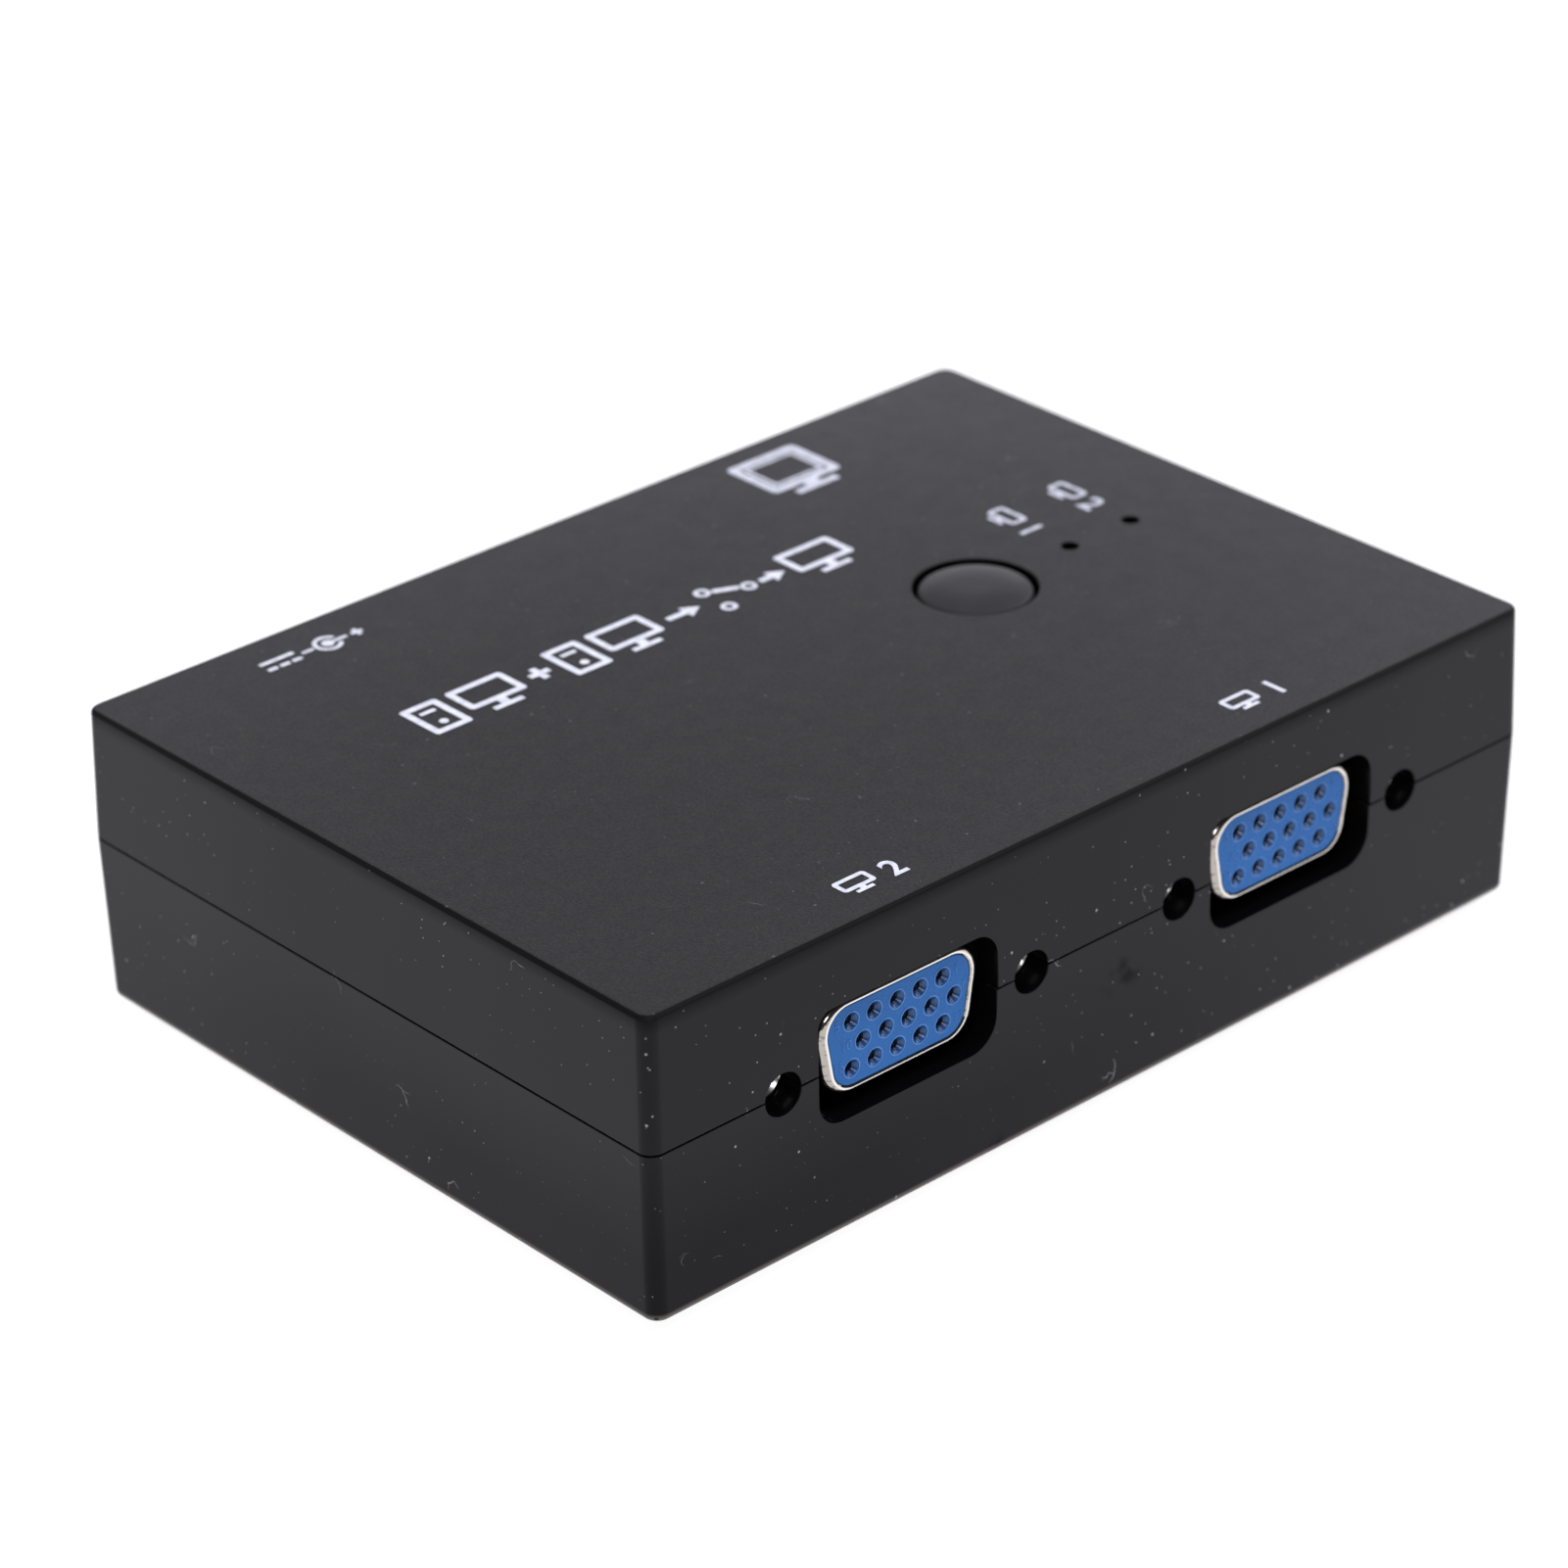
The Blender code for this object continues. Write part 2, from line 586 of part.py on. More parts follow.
def socket_shell():
    """The drawn metal shell: a D-shaped tube, its front edge turned in to a lip, on a flat flange."""
    tube = prism(d_outline(D_WIDTH, D_HEIGHT, D_CORNER_RADIUS), SOCKET_RECESS, FLANGE_Y + BITE)
    shape = bmesh.new()
    shape.from_mesh(tube)
    front = [e for e in shape.edges if all(abs(v.co.y - SOCKET_RECESS) < 1e-7 for v in e.verts)]
    outline = [e for e in front if e.calc_face_angle(0) > math.radians(60)]
    bmesh.ops.bevel(shape, geom=outline, offset=SHELL_EDGE_RADIUS, segments=2, profile=0.5, affect="EDGES")
    tube = mesh_from(shape)
    flange = box(
        (-FLANGE_LENGTH / 2, FLANGE_Y, -FLANGE_HEIGHT / 2),
        (FLANGE_LENGTH / 2, FLANGE_BACK_Y, FLANGE_HEIGHT / 2),
    )
    inner_width, inner_height = D_WIDTH - 2 * SHELL_THICKNESS, D_HEIGHT - 2 * SHELL_THICKNESS
    bore = prism(
        d_outline(inner_width, inner_height, D_CORNER_RADIUS - SHELL_THICKNESS),
        SOCKET_RECESS + LIP_DEPTH,
        FLANGE_BACK_Y + OVERSHOOT,
    )
    mouth_outline = d_outline(LIP_WIDTH, LIP_HEIGHT, LIP_CORNER_RADIUS)
    mouth = prism(mouth_outline, SOCKET_RECESS - OVERSHOOT, SOCKET_RECESS + OVERSHOOT)
    return cut(united(tube, flange), bore, mouth, gathered(jack_holes(FLANGE_Y, FLANGE_BACK_Y)))


def jack_holes(low_y, high_y):
    """Cutters for the two jack nuts' studs through a plate."""
    holes = []
    for side in (-1, 1):
        start = (side * JACK_SPACING / 2, low_y - OVERSHOOT, 0)
        end = (side * JACK_SPACING / 2, high_y + OVERSHOOT, 0)
        holes.append(cylinder(start, end, JACK_CLEARANCE_RADIUS, 12))
    return holes


def contact_places():
    """The (x, z) places of the 15 contacts: three rows of five, the middle row half a pitch across."""
    places = []
    for row, shift in ((1, 0.0), (0, CONTACT_PITCH / 2), (-1, 0.0)):
        for column in range(-2, 3):
            places.append((OUTER_ROW_OFFSET + shift + column * CONTACT_PITCH, row * ROW_PITCH))
    return places


def socket_insulator():
    """The moulded body: a nose in the shell's mouth, a D-shaped core and a block behind the bracket."""
    play = SEAT_GAP
    core_width = D_WIDTH - 2 * (SHELL_THICKNESS + play)
    core_height = D_HEIGHT - 2 * (SHELL_THICKNESS + play)
    core_front = SOCKET_RECESS + LIP_DEPTH + play
    block_front = BRACKET_BACK_Y + play
    nose = prism(
        d_outline(LIP_WIDTH - 2 * play, LIP_HEIGHT - 2 * play, LIP_CORNER_RADIUS - play),
        SOCKET_RECESS + play,
        core_front + BITE,
    )
    core_outline = d_outline(core_width, core_height, D_CORNER_RADIUS - SHELL_THICKNESS - play)
    core = prism(core_outline, core_front, block_front + BITE)
    block = box(
        (-BLOCK_LENGTH / 2, block_front, -SOCKET_ABOVE_BOARD + SEAT_GAP),
        (BLOCK_LENGTH / 2, block_front + BLOCK_DEPTH, BLOCK_TOP),
    )
    body = united(core, nose, block)
    holes = []
    for x, z in contact_places():
        hole_end = SOCKET_RECESS + CONTACT_HOLE_DEPTH
        holes.append(cylinder((x, SOCKET_RECESS - OVERSHOOT, z), (x, hole_end, z), CONTACT_HOLE_RADIUS, 8))
    return cut(body, gathered(holes))


def socket_bracket():
    """The rear bracket: a plate behind the flange with two feet on the board."""
    low_z = -SOCKET_ABOVE_BOARD + SEAT_GAP
    half = FLANGE_LENGTH / 2
    plate = box((-half, BRACKET_Y, low_z), (half, BRACKET_BACK_Y, BRACKET_TOP))
    feet = []
    for side in (-1, 1):
        near, far = sorted((side * BRACKET_FOOT_NEAR, side * BRACKET_FOOT_FAR))
        foot_end = (far, BRACKET_BACK_Y + BRACKET_FOOT_DEPTH, low_z + FLANGE_THICKNESS)
        feet.append(box((near, BRACKET_Y + BITE / 2, low_z), foot_end))
    opening = prism(
        d_outline(D_WIDTH, D_HEIGHT, D_CORNER_RADIUS), BRACKET_Y - OVERSHOOT, BRACKET_BACK_Y + OVERSHOOT
    )
    return cut(united(plate, *feet), opening, gathered(jack_holes(BRACKET_Y, BRACKET_BACK_Y)))


def jack_nut():
    """A hexagonal nut with a blind threaded bore, and the stud that holds it to the flange and bracket."""
    front_y = SIDE_WALL + 0.15 * MM
    back_y = FLANGE_Y - SEAT_GAP
    body = cylinder((0, front_y, 0), (0, back_y, 0), JACK_NUT_ACROSS_FLATS / 2 / math.cos(math.pi / 6), 6)
    stud = cylinder((0, back_y - BITE, 0), (0, back_y + JACK_STUD_LENGTH, 0), JACK_STUD_RADIUS, 12)
    bore_start, bore_end = front_y - OVERSHOOT, front_y + JACK_NUT_BORE_DEPTH
    bore = cylinder((0, bore_start, 0), (0, bore_end, 0), JACK_NUT_BORE_RADIUS, 16)
    return cut(united(body, stud), bore)


def add_sockets(collection):
    shell, insulator, bracket, nut = socket_shell(), socket_insulator(), socket_bracket(), jack_nut()
    places = [
        ("input_2", SOCKET_FRONT_X[0], -HALF_WIDTH, 0.0),
        ("input_1", SOCKET_FRONT_X[1], -HALF_WIDTH, 0.0),
        ("output", SOCKET_REAR_X, HALF_WIDTH, math.pi),
    ]
    for name, x, y, turn in places:
        holder = locator(f"{name}_origin", (x, y, SOCKET_Z), collection, turn)
        part(f"{name}_socket_shell", shell, "nickel", collection, holder)
        part(f"{name}_insulator", insulator, "connector_blue", collection, holder)
        part(f"{name}_bracket", bracket, "steel", collection, holder)
        for side, nut_x in (("left", -JACK_SPACING / 2), ("right", JACK_SPACING / 2)):
            part(f"{name}_jack_nut_{side}", nut, "nickel", collection, holder, (nut_x, 0, 0))


# ---------------------------------------------------------------- board and what stands on it


def main_board():
    board = box(
        (-BOARD_LENGTH / 2, -BOARD_WIDTH / 2, BOARD_BOTTOM_Z),
        (BOARD_LENGTH / 2, BOARD_WIDTH / 2, BOARD_TOP_Z),
    )
    low, high = BOARD_BOTTOM_Z - OVERSHOOT, BOARD_TOP_Z + OVERSHOOT
    holes = [(x, y, BOARD_NOTCH_RADIUS, 20) for x, y in corners(CASE_SCREW_X, CASE_SCREW_Y)]
    holes += [(x, y, BOARD_SCREW_HOLE_RADIUS, 12) for x, y in corners(BOARD_SCREW_X, BOARD_SCREW_Y)]
    for x in LAMP_X:
        holes.append((x - LEAD_SPACING / 2, LAMP_Y, LEAD_HOLE_RADIUS, 8))
        holes.append((x + LEAD_SPACING / 2, LAMP_Y, LEAD_HOLE_RADIUS, 8))
    cutters = [cylinder((x, y, low), (x, y, high), radius, segments) for x, y, radius, segments in holes]
    return cut(board, gathered(cutters))


def button_cap():
    """A slightly domed cap with a skirt, a flange that stops it under the guide, and a long stem."""
    rim_z = CASE_TOP_Z - BUTTON_RIM_DEPTH
    apex_z = CASE_TOP_Z + BUTTON_DOME_HEIGHT
    shoulder = 0.34 * MM
    flange_top = CEILING_Z - BUTTON_GUIDE_LENGTH - 2 * SEAT_GAP
    flange_low = flange_top - 1.0 * MM
    skirt_radius = BUTTON_RADIUS - 1.2 * MM
    crown_z = CEILING_Z + 0.6 * MM
    stem_radius = 1.8 * MM
    stem_low = PLUNGER_TOP_Z + SEAT_GAP
    dome = []
    for i in range(5):
        share = i / 4
        dome.append(((BUTTON_RADIUS - shoulder) * share, apex_z + (rim_z - apex_z) * share**2))
    profile = dome + [
        (BUTTON_RADIUS - 0.3 * shoulder, rim_z - 0.3 * shoulder),
        (BUTTON_RADIUS, rim_z - shoulder),
        (BUTTON_RADIUS, flange_top),
        (BUTTON_FLANGE_RADIUS, flange_top),
        (BUTTON_FLANGE_RADIUS, flange_low),
        (skirt_radius, flange_low),
        (skirt_radius, crown_z),
        (stem_radius, crown_z),
        (stem_radius, stem_low),
        (0, stem_low),
    ]
    return turned(profile, steps=40)


def switch_housing():
    half = SWITCH_SIDE / 2
    top_z = SWITCH_LOW_Z + SWITCH_HEIGHT
    body = box((-half, -half, SWITCH_LOW_Z), (half, half, top_z))
    well_low, well_high = (0, 0, SWITCH_LOW_Z + SWITCH_WELL_FLOOR), (0, 0, top_z + OVERSHOOT)
    return cut(body, cylinder(well_low, well_high, SWITCH_WELL_RADIUS, 20))


def switch_cover():
    half = SWITCH_SIDE / 2
    plate = box((-half, -half, SWITCH_COVER_Z), (half, half, SWITCH_COVER_Z + SWITCH_COVER_THICKNESS))
    low, high = (0, 0, SWITCH_COVER_Z - OVERSHOOT), (0, 0, SWITCH_COVER_Z + OVERSHOOT)
    return cut(plate, cylinder(low, high, PLUNGER_RADIUS + 1.5 * SEAT_GAP, 20))


def switch_plunger():
    """A round pin whose flange sits between the snap dome and the cover plate."""
    flange_low, flange_top = DOME_TOP_Z + SEAT_GAP, SWITCH_COVER_Z - SEAT_GAP
    chamfer = 0.2 * MM
    profile = [
        (0, PLUNGER_TOP_Z),
        (PLUNGER_RADIUS - chamfer, PLUNGER_TOP_Z),
        (PLUNGER_RADIUS, PLUNGER_TOP_Z - chamfer),
        (PLUNGER_RADIUS, flange_top),
        (PLUNGER_FLANGE_RADIUS, flange_top),
        (PLUNGER_FLANGE_RADIUS, flange_low),
        (0, flange_low),
    ]
    return turned(profile, steps=20)


def switch_dome():
    """The snap dome under the plunger: a shallow sprung disc that flattens as the button goes down."""
    shares = [i / 4 for i in range(5)]
    top = [(DOME_RADIUS * share, DOME_TOP_Z - DOME_RISE * share**2) for share in shares]
    underside = [(radius, z - DOME_THICKNESS) for radius, z in reversed(top)]
    return turned(top + underside, steps=16)


def lamp():
    """A 3 mm lamp: a flanged cylinder under a round dome that points up into its hole."""
    shoulder_z = LAMP_TOP_Z - LAMP_RADIUS
    flange_top = LAMP_LOW_Z + LAMP_FLANGE_THICKNESS
    dome = [(x, shoulder_z + z) for x, z in reversed(arc((0, 0), LAMP_RADIUS, 0, 90, 5))]
    profile = dome + [
        (LAMP_RADIUS, flange_top),
        (LAMP_FLANGE_RADIUS, flange_top),
        (LAMP_FLANGE_RADIUS, LAMP_LOW_Z),
        (0, LAMP_LOW_Z),
    ]
    return turned(profile, steps=16)


def lamp_lead():
    half = LEAD_SIDE / 2
    return box((-half, -half, BOARD_BOTTOM_Z - LEAD_TAIL), (half, half, LAMP_LOW_Z - SEAT_GAP))


def chip(length, lead_count):
    """A small-outline chip: a moulded body with gull-wing leads along both long sides."""
    half_width, pitch, lead_width, gauge = 1.95 * MM, 1.27 * MM, 0.42 * MM, 0.22 * MM
    low_z, foot_z = BOARD_TOP_Z + 0.25 * MM, BOARD_TOP_Z + SEAT_GAP
    shoulder_z, knee, toe = low_z + 0.6 * MM, half_width + 0.4 * MM, half_width + 1.05 * MM
    body = box((-length / 2, -half_width, low_z), (length / 2, half_width, low_z + 1.45 * MM))
    half_span = ((lead_count - 1) * pitch + lead_width) / 2
    strip = [
        (half_width - gauge, shoulder_z, knee + gauge, shoulder_z + gauge),
        (knee, foot_z, knee + gauge, shoulder_z + gauge / 2),
        (knee + gauge / 2, foot_z, toe, foot_z + gauge),
    ]
    strips = []
    for side in (-1, 1):
        for near, strip_low_z, far, strip_high_z in strip:
            low_y, high_y = sorted((side * near, side * far))
            strips.append(box((-half_span, low_y, strip_low_z), (half_span, high_y, strip_high_z)))
    slots = []
    for i in range(lead_count - 1):
        slot_x = (i + 1 - lead_count / 2) * pitch
        half_slot = (pitch - lead_width) / 2
        for side in (-1, 1):
            low_y, high_y = sorted((side * (half_width + SEAT_GAP), side * (toe + OVERSHOOT)))
            slot_low = (slot_x - half_slot, low_y, foot_z - OVERSHOOT)
            slots.append(box(slot_low, (slot_x + half_slot, high_y, low_z + OVERSHOOT)))
    return cut(united(body, *strips), gathered(slots))


def capacitor():
    """A sleeved can with a crimped waist near its foot."""
    radius, height = 3.15 * MM, 11.0 * MM
    low_z = BOARD_TOP_Z + 0.2 * MM
    top_z = low_z + height
    profile = [
        (0, top_z),
        (radius - 0.3 * MM, top_z),
        (radius, top_z - 0.3 * MM),
        (radius, low_z + 2.1 * MM),
        (radius - 0.35 * MM, low_z + 1.7 * MM),
        (radius, low_z + 1.3 * MM),
        (radius, low_z),
        (0, low_z),
    ]
    return turned(profile, steps=20)


def regulator():
    low_z = BOARD_TOP_Z + SEAT_GAP
    body = box((-3.25 * MM, -1.75 * MM, low_z), (3.25 * MM, 1.75 * MM, low_z + 1.6 * MM))
    tab = box((-1.5 * MM, 1.3 * MM, low_z), (1.5 * MM, 3.4 * MM, low_z + 0.3 * MM))
    legs = []
    for i in (-1, 0, 1):
        x = i * 2.3 * MM
        legs.append(box((x - 0.38 * MM, -3.4 * MM, low_z), (x + 0.38 * MM, -1.3 * MM, low_z + 0.3 * MM)))
    return united(body, tab, gathered(legs))


def power_jack_body():
    """The power jack, in its own frame: y into the case from the back panel's face, z = 0 on its axis."""
    width, depth, height = POWER_BODY
    front_y = SIDE_WALL + 2 * SEAT_GAP
    low_z = -POWER_ABOVE_BOARD + SEAT_GAP
    body = box((-width / 2, front_y, low_z), (width / 2, front_y + depth, low_z + height))
    nose = cylinder((0, POWER_NOSE_RECESS, 0), (0, front_y + BITE, 0), POWER_NOSE_RADIUS, 28)
    bore_end = POWER_NOSE_RECESS + POWER_BORE_DEPTH
    bore = cylinder((0, POWER_NOSE_RECESS - OVERSHOOT, 0), (0, bore_end, 0), POWER_BORE_RADIUS, 24)
    return cut(united(body, nose), bore)


def power_jack_pin():
    back_y = POWER_NOSE_RECESS + POWER_BORE_DEPTH - SEAT_GAP
    length = POWER_BORE_DEPTH - POWER_PIN_RECESS
    tip = 0.5 * MM
    profile = [
        (0, length),
        (POWER_PIN_RADIUS - tip / 2, length),
        (POWER_PIN_RADIUS, length - tip),
        (POWER_PIN_RADIUS, 0),
        (0, 0),
    ]
    pin = turned(profile, steps=16)
    pin.transform(Matrix.Translation((0, back_y, 0)) @ Matrix.Rotation(math.pi / 2, 4, "X"))
    return pin


def power_jack_spring():
    """The leaf that presses on the plug's sleeve, along the bottom of the bore."""
    gauge = 0.25 * MM
    z = -POWER_BORE_RADIUS + 0.5 * MM
    back_y = POWER_NOSE_RECESS + POWER_BORE_DEPTH - SEAT_GAP
    return box((-0.8 * MM, back_y - 7.5 * MM, z), (0.8 * MM, back_y, z + gauge))


def add_board_parts(collection):
    part("main_board", main_board(), "board_green", collection)
    board_screw = pan_screw(2.2 * MM, 1.3 * MM, 0.9 * MM, 5.4 * MM)
    for i, (x, y) in enumerate(corners(BOARD_SCREW_X, BOARD_SCREW_Y), 1):
        part(f"board_screw_{i}", board_screw, "steel", collection, None, (x, y, BOARD_TOP_Z + SEAT_GAP))

    button = locator("button_axis", (BUTTON_X, BUTTON_Y, 0), collection)
    part("button_cap", button_cap(), "button_black", collection, button)
    part("switch_plunger", switch_plunger(), "chip_black", collection, button)
    part("switch_housing", switch_housing(), "chip_black", collection, button)
    part("switch_cover", switch_cover(), "steel", collection, button)
    part("switch_dome", switch_dome(), "spring_metal", collection, button)

    bulb, lead = lamp(), lamp_lead()
    for i, x in enumerate(LAMP_X, 1):
        holder = locator(f"lamp_{i}_axis", (x, LAMP_Y, 0), collection)
        part(f"lamp_{i}", bulb, "lamp_clear", collection, holder)
        for name, side in (("anode", -1), ("cathode", 1)):
            part(f"lamp_{i}_{name}", lead, "steel", collection, holder, (side * LEAD_SPACING / 2, 0, 0))

    wide_chip, small_chip = chip(9.9 * MM, 8), chip(4.9 * MM, 4)
    part("mux_chip_1", wide_chip, "chip_black", collection, None, (-21.0 * MM, -4.0 * MM, 0))
    part("mux_chip_2", wide_chip, "chip_black", collection, None, (-7.0 * MM, -4.0 * MM, 0))
    part("control_chip", small_chip, "chip_black", collection, None, (2.0 * MM, 8.0 * MM, 0))
    part("regulator", regulator(), "chip_black", collection, None, (-13.0 * MM, 12.0 * MM, 0))
    can = capacitor()
    part("capacitor_1", can, "can_sleeve", collection, None, (-34.0 * MM, 4.0 * MM, 0))
    part("capacitor_2", can, "can_sleeve", collection, None, (-34.0 * MM, -5.0 * MM, 0))

    jack = locator("power_jack_axis", (POWER_X, HALF_WIDTH, POWER_Z), collection, math.pi)
    part("power_jack_body", power_jack_body(), "chip_black", collection, jack)
    part("power_jack_pin", power_jack_pin(), "nickel", collection, jack)
    part("power_jack_spring", power_jack_spring(), "spring_metal", collection, jack)


def add_case(collection):
    part("upper_shell", upper_shell(), "case_black", collection)
    part("lower_shell", lower_shell(), "case_black", collection)
    rubber_foot = foot()
    for i, (x, y) in enumerate(corners(FOOT_X, FOOT_Y), 1):
        part(f"rubber_foot_{i}", rubber_foot, "rubber", collection, None, (x, y, 0))
    case_screw = pan_screw(2.5 * MM, 1.6 * MM, 1.25 * MM, 17.5 * MM)
    seat_z = CASE_BOTTOM_Z + COUNTERBORE_DEPTH - SEAT_GAP
    for i, (x, y) in enumerate(corners(CASE_SCREW_X, CASE_SCREW_Y), 1):
        screw = part(f"case_screw_{i}", case_screw, "steel", collection, None, (x, y, seat_z))
        screw.rotation_euler = (math.pi, 0, 0)


clear_scene()
model = new_collection("video_switch_box")
add_case(model)
add_sockets(model)
add_board_parts(model)
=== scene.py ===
"""Looks for the two-input video switch box: fine shells, sockets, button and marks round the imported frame.

Metres, +Z up. The front face, with the two inputs, looks along -Y. Every place comes from the frame's own
boxes; the named sizes below are the ones that the frame's boxes don't give.
"""

import math

import bmesh
import bpy
from mathutils import Matrix, Quaternion, Vector


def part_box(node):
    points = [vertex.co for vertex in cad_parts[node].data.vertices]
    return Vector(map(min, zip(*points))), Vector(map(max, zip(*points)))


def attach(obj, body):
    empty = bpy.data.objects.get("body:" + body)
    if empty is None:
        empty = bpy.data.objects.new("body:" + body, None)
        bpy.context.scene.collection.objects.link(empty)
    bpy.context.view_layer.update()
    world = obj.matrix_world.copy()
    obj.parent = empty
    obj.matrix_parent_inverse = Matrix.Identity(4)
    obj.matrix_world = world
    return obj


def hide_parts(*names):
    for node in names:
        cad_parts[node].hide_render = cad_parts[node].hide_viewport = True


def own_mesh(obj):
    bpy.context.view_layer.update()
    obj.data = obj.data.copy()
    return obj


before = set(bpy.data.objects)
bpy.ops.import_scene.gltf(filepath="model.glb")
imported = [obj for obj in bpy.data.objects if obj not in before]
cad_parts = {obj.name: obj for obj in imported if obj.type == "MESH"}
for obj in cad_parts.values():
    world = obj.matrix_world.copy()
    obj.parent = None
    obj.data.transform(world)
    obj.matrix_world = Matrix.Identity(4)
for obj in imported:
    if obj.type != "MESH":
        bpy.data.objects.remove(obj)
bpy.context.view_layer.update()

MM = 0.001
OVERSHOOT = 1.0 * MM
BITE = 0.3 * MM
FINE_EDGE = 0.3 * MM
SAME_PLACE = 1e-7
SHARP_ANGLE = math.radians(34)
ROUND_STEPS = 48

# ---- places, from the frame


def centre(node):
    low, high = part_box(node)
    return (Vector(low) + Vector(high)) / 2


def plan(kind, count):
    """The (x, y) places of numbered nodes, such as case_screw_1 to case_screw_4."""
    return [tuple(centre(f"{kind}_{i}")[:2]) for i in range(1, count + 1)]


UPPER_LOW, UPPER_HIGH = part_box("upper_shell")
LOWER_LOW, LOWER_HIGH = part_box("lower_shell")
HALF_LENGTH = UPPER_HIGH[0]
HALF_WIDTH = UPPER_HIGH[1]
CASE_TOP = UPPER_HIGH[2]
CASE_BOTTOM = LOWER_LOW[2]
POST_GAP = 0.1 * MM
PARTING = UPPER_LOW[2] - POST_GAP
TONGUE_TOP = LOWER_HIGH[2]
BUTTON = tuple(centre("button_cap")[:2])
LAMPS = plan("lamp", 2)
CASE_SCREWS = plan("case_screw", 4)
BOARD_SCREWS = plan("board_screw", 4)
FEET = plan("rubber_foot", 4)
SOCKETS = {
    "input_1": (centre("input_1_socket_shell").x, -HALF_WIDTH, 0.0),
    "input_2": (centre("input_2_socket_shell").x, -HALF_WIDTH, 0.0),
    "output": (centre("output_socket_shell").x, HALF_WIDTH, math.pi),
}
SOCKET_Z = centre("input_1_socket_shell").z
POWER = centre("power_jack_pin")

# ---- sizes

# Case
CORNER_RADIUS = 1.25 * MM
TOP_EDGE_RADIUS = 0.4 * MM
BOTTOM_EDGE_RADIUS = 0.5 * MM
TOP_TAPER = 0.22 * MM
BOTTOM_TAPER = 0.30 * MM
RIM_GAP = 0.17 * MM
RIM_EDGE_RADIUS = 0.05 * MM
SIDE_WALL = 2.2 * MM
ROOF = 2.0 * MM
WIDE = (HALF_LENGTH, HALF_WIDTH)
INNER = (HALF_LENGTH - SIDE_WALL, HALF_WIDTH - SIDE_WALL)
SKIN = 0.30 * MM
TONGUE = 0.9 * MM
TONGUE_CLEARANCE = 0.2 * MM
POST_RADIUS = 3.0 * MM
BOSS_RADIUS = 3.4 * MM
GUIDE_RADIUS = 6.5 * MM
GUIDE_LENGTH = 3.4 * MM
COLLAR_RADIUS = 2.5 * MM
COLLAR_BORE = 1.75 * MM
COLLAR_LENGTH = 2.6 * MM
COUNTERBORE_RADIUS = 2.8 * MM
COUNTERBORE_DEPTH = 3.0 * MM
SCREW_SHAFT_RADIUS = 1.6 * MM
PILOT_RADIUS = 1.4 * MM
BOARD_BOSS_RADIUS = 2.6 * MM
BOARD_PILOT_RADIUS = 1.1 * MM
FOOT_SEAT_RADIUS = 4.2 * MM
FOOT_SEAT_DEPTH = 0.6 * MM
FOOT_RIM = 0.35 * MM
SHANK_RADIUS = 1.25 * MM
THREAD_PITCH = 0.9 * MM

# Button and snap dome
BUTTON_RADIUS = 4.71 * MM
BUTTON_RIM = 0.55 * MM
BUTTON_RIM_Z = CASE_TOP - 0.64 * MM
DOME_POWER = 3.4
FLANGE_LIP = 1.0 * MM
SKIRT_RADIUS = 3.5 * MM
SKIRT_TOP = CASE_TOP - 1.4 * MM
STEM_RADIUS = 1.8 * MM
DOME_THICKNESS = 0.12 * MM

# Openings
BUTTON_HOLE_RADIUS = 5.13 * MM
LAMP_HOLE_RADIUS = 0.76 * MM
SCREW_HOLE_RADIUS = 1.76 * MM
POWER_HOLE_RADIUS = 3.95 * MM
WINDOW_HALF = 9.02 * MM
WINDOW_LOW = -4.77 * MM
WINDOW_HIGH = 5.1 * MM
WINDOW_RADII = (2.4 * MM, 2.6 * MM, 2.2 * MM, 1.4 * MM)
HALVES_MISMATCH = 0.12 * MM
OPENING_EDGE = 0.10 * MM

# Sockets, each in its own frame: x across, y into the case from its outer face, z up from the D's middle.
# D is the shell's tube, FACE the front of its roll, LIP the opening inside the roll.
JACK_SPACING = 25.0 * MM
D_WIDTH = 16.33 * MM
D_HEIGHT = 7.9 * MM
D_LEAN = math.radians(10)
D_RADIUS = 2.6 * MM
D_RECESS = 1.0 * MM
ROLL_DEPTH = 0.75 * MM
FACE_WIDTH = 14.69 * MM
FACE_HEIGHT = 7.19 * MM
FACE_RADIUS = 2.17 * MM
SHELL_WALL = 0.4 * MM
LIP_WIDTH = 14.36 * MM
LIP_HEIGHT = 6.86 * MM
LIP_RADIUS = 2.01 * MM
FLANGE_Y = 6.9 * MM
FLANGE_THICKNESS = 0.8 * MM
FLANGE_HALF = (15.2 * MM, 6.25 * MM)
FLANGE_HOLE_RADIUS = 1.5 * MM
FACE_Y = D_RECESS + 0.10 * MM
INSULATOR_PLAY = 0.04 * MM
BLOCK_HALF = 10.0 * MM
BLOCK_Y = 8.7 * MM
CONTACT_PITCH = 2.29 * MM
ROW_PITCH = 1.98 * MM
OUTER_ROWS_SHIFT = -0.265 * MM
ENTRY_RADIUS = 0.73 * MM
ENTRY_DEPTH = 0.40 * MM
RIM_HEIGHT = 0.035 * MM
BORE_RADIUS = 0.40 * MM
BORE_DEPTH = 5.0 * MM
CONTACT_DEPTH = 1.0 * MM
NUT_HALF = 2.4 * MM
NUT_FACE_RADIUS = 2.35 * MM
NUT_CHAMFER = 0.28 * MM
NUT_PITCH = 0.5 * MM
THREAD_RADIUS = 1.42 * MM
NUT_BORE_DEPTH = 4.0 * MM

# Power jack
NOSE_RADIUS = 3.7 * MM
NOSE_LENGTH = 3.0 * MM
PLUG_RADIUS = 3.15 * MM
PLUG_DEPTH = 10.5 * MM

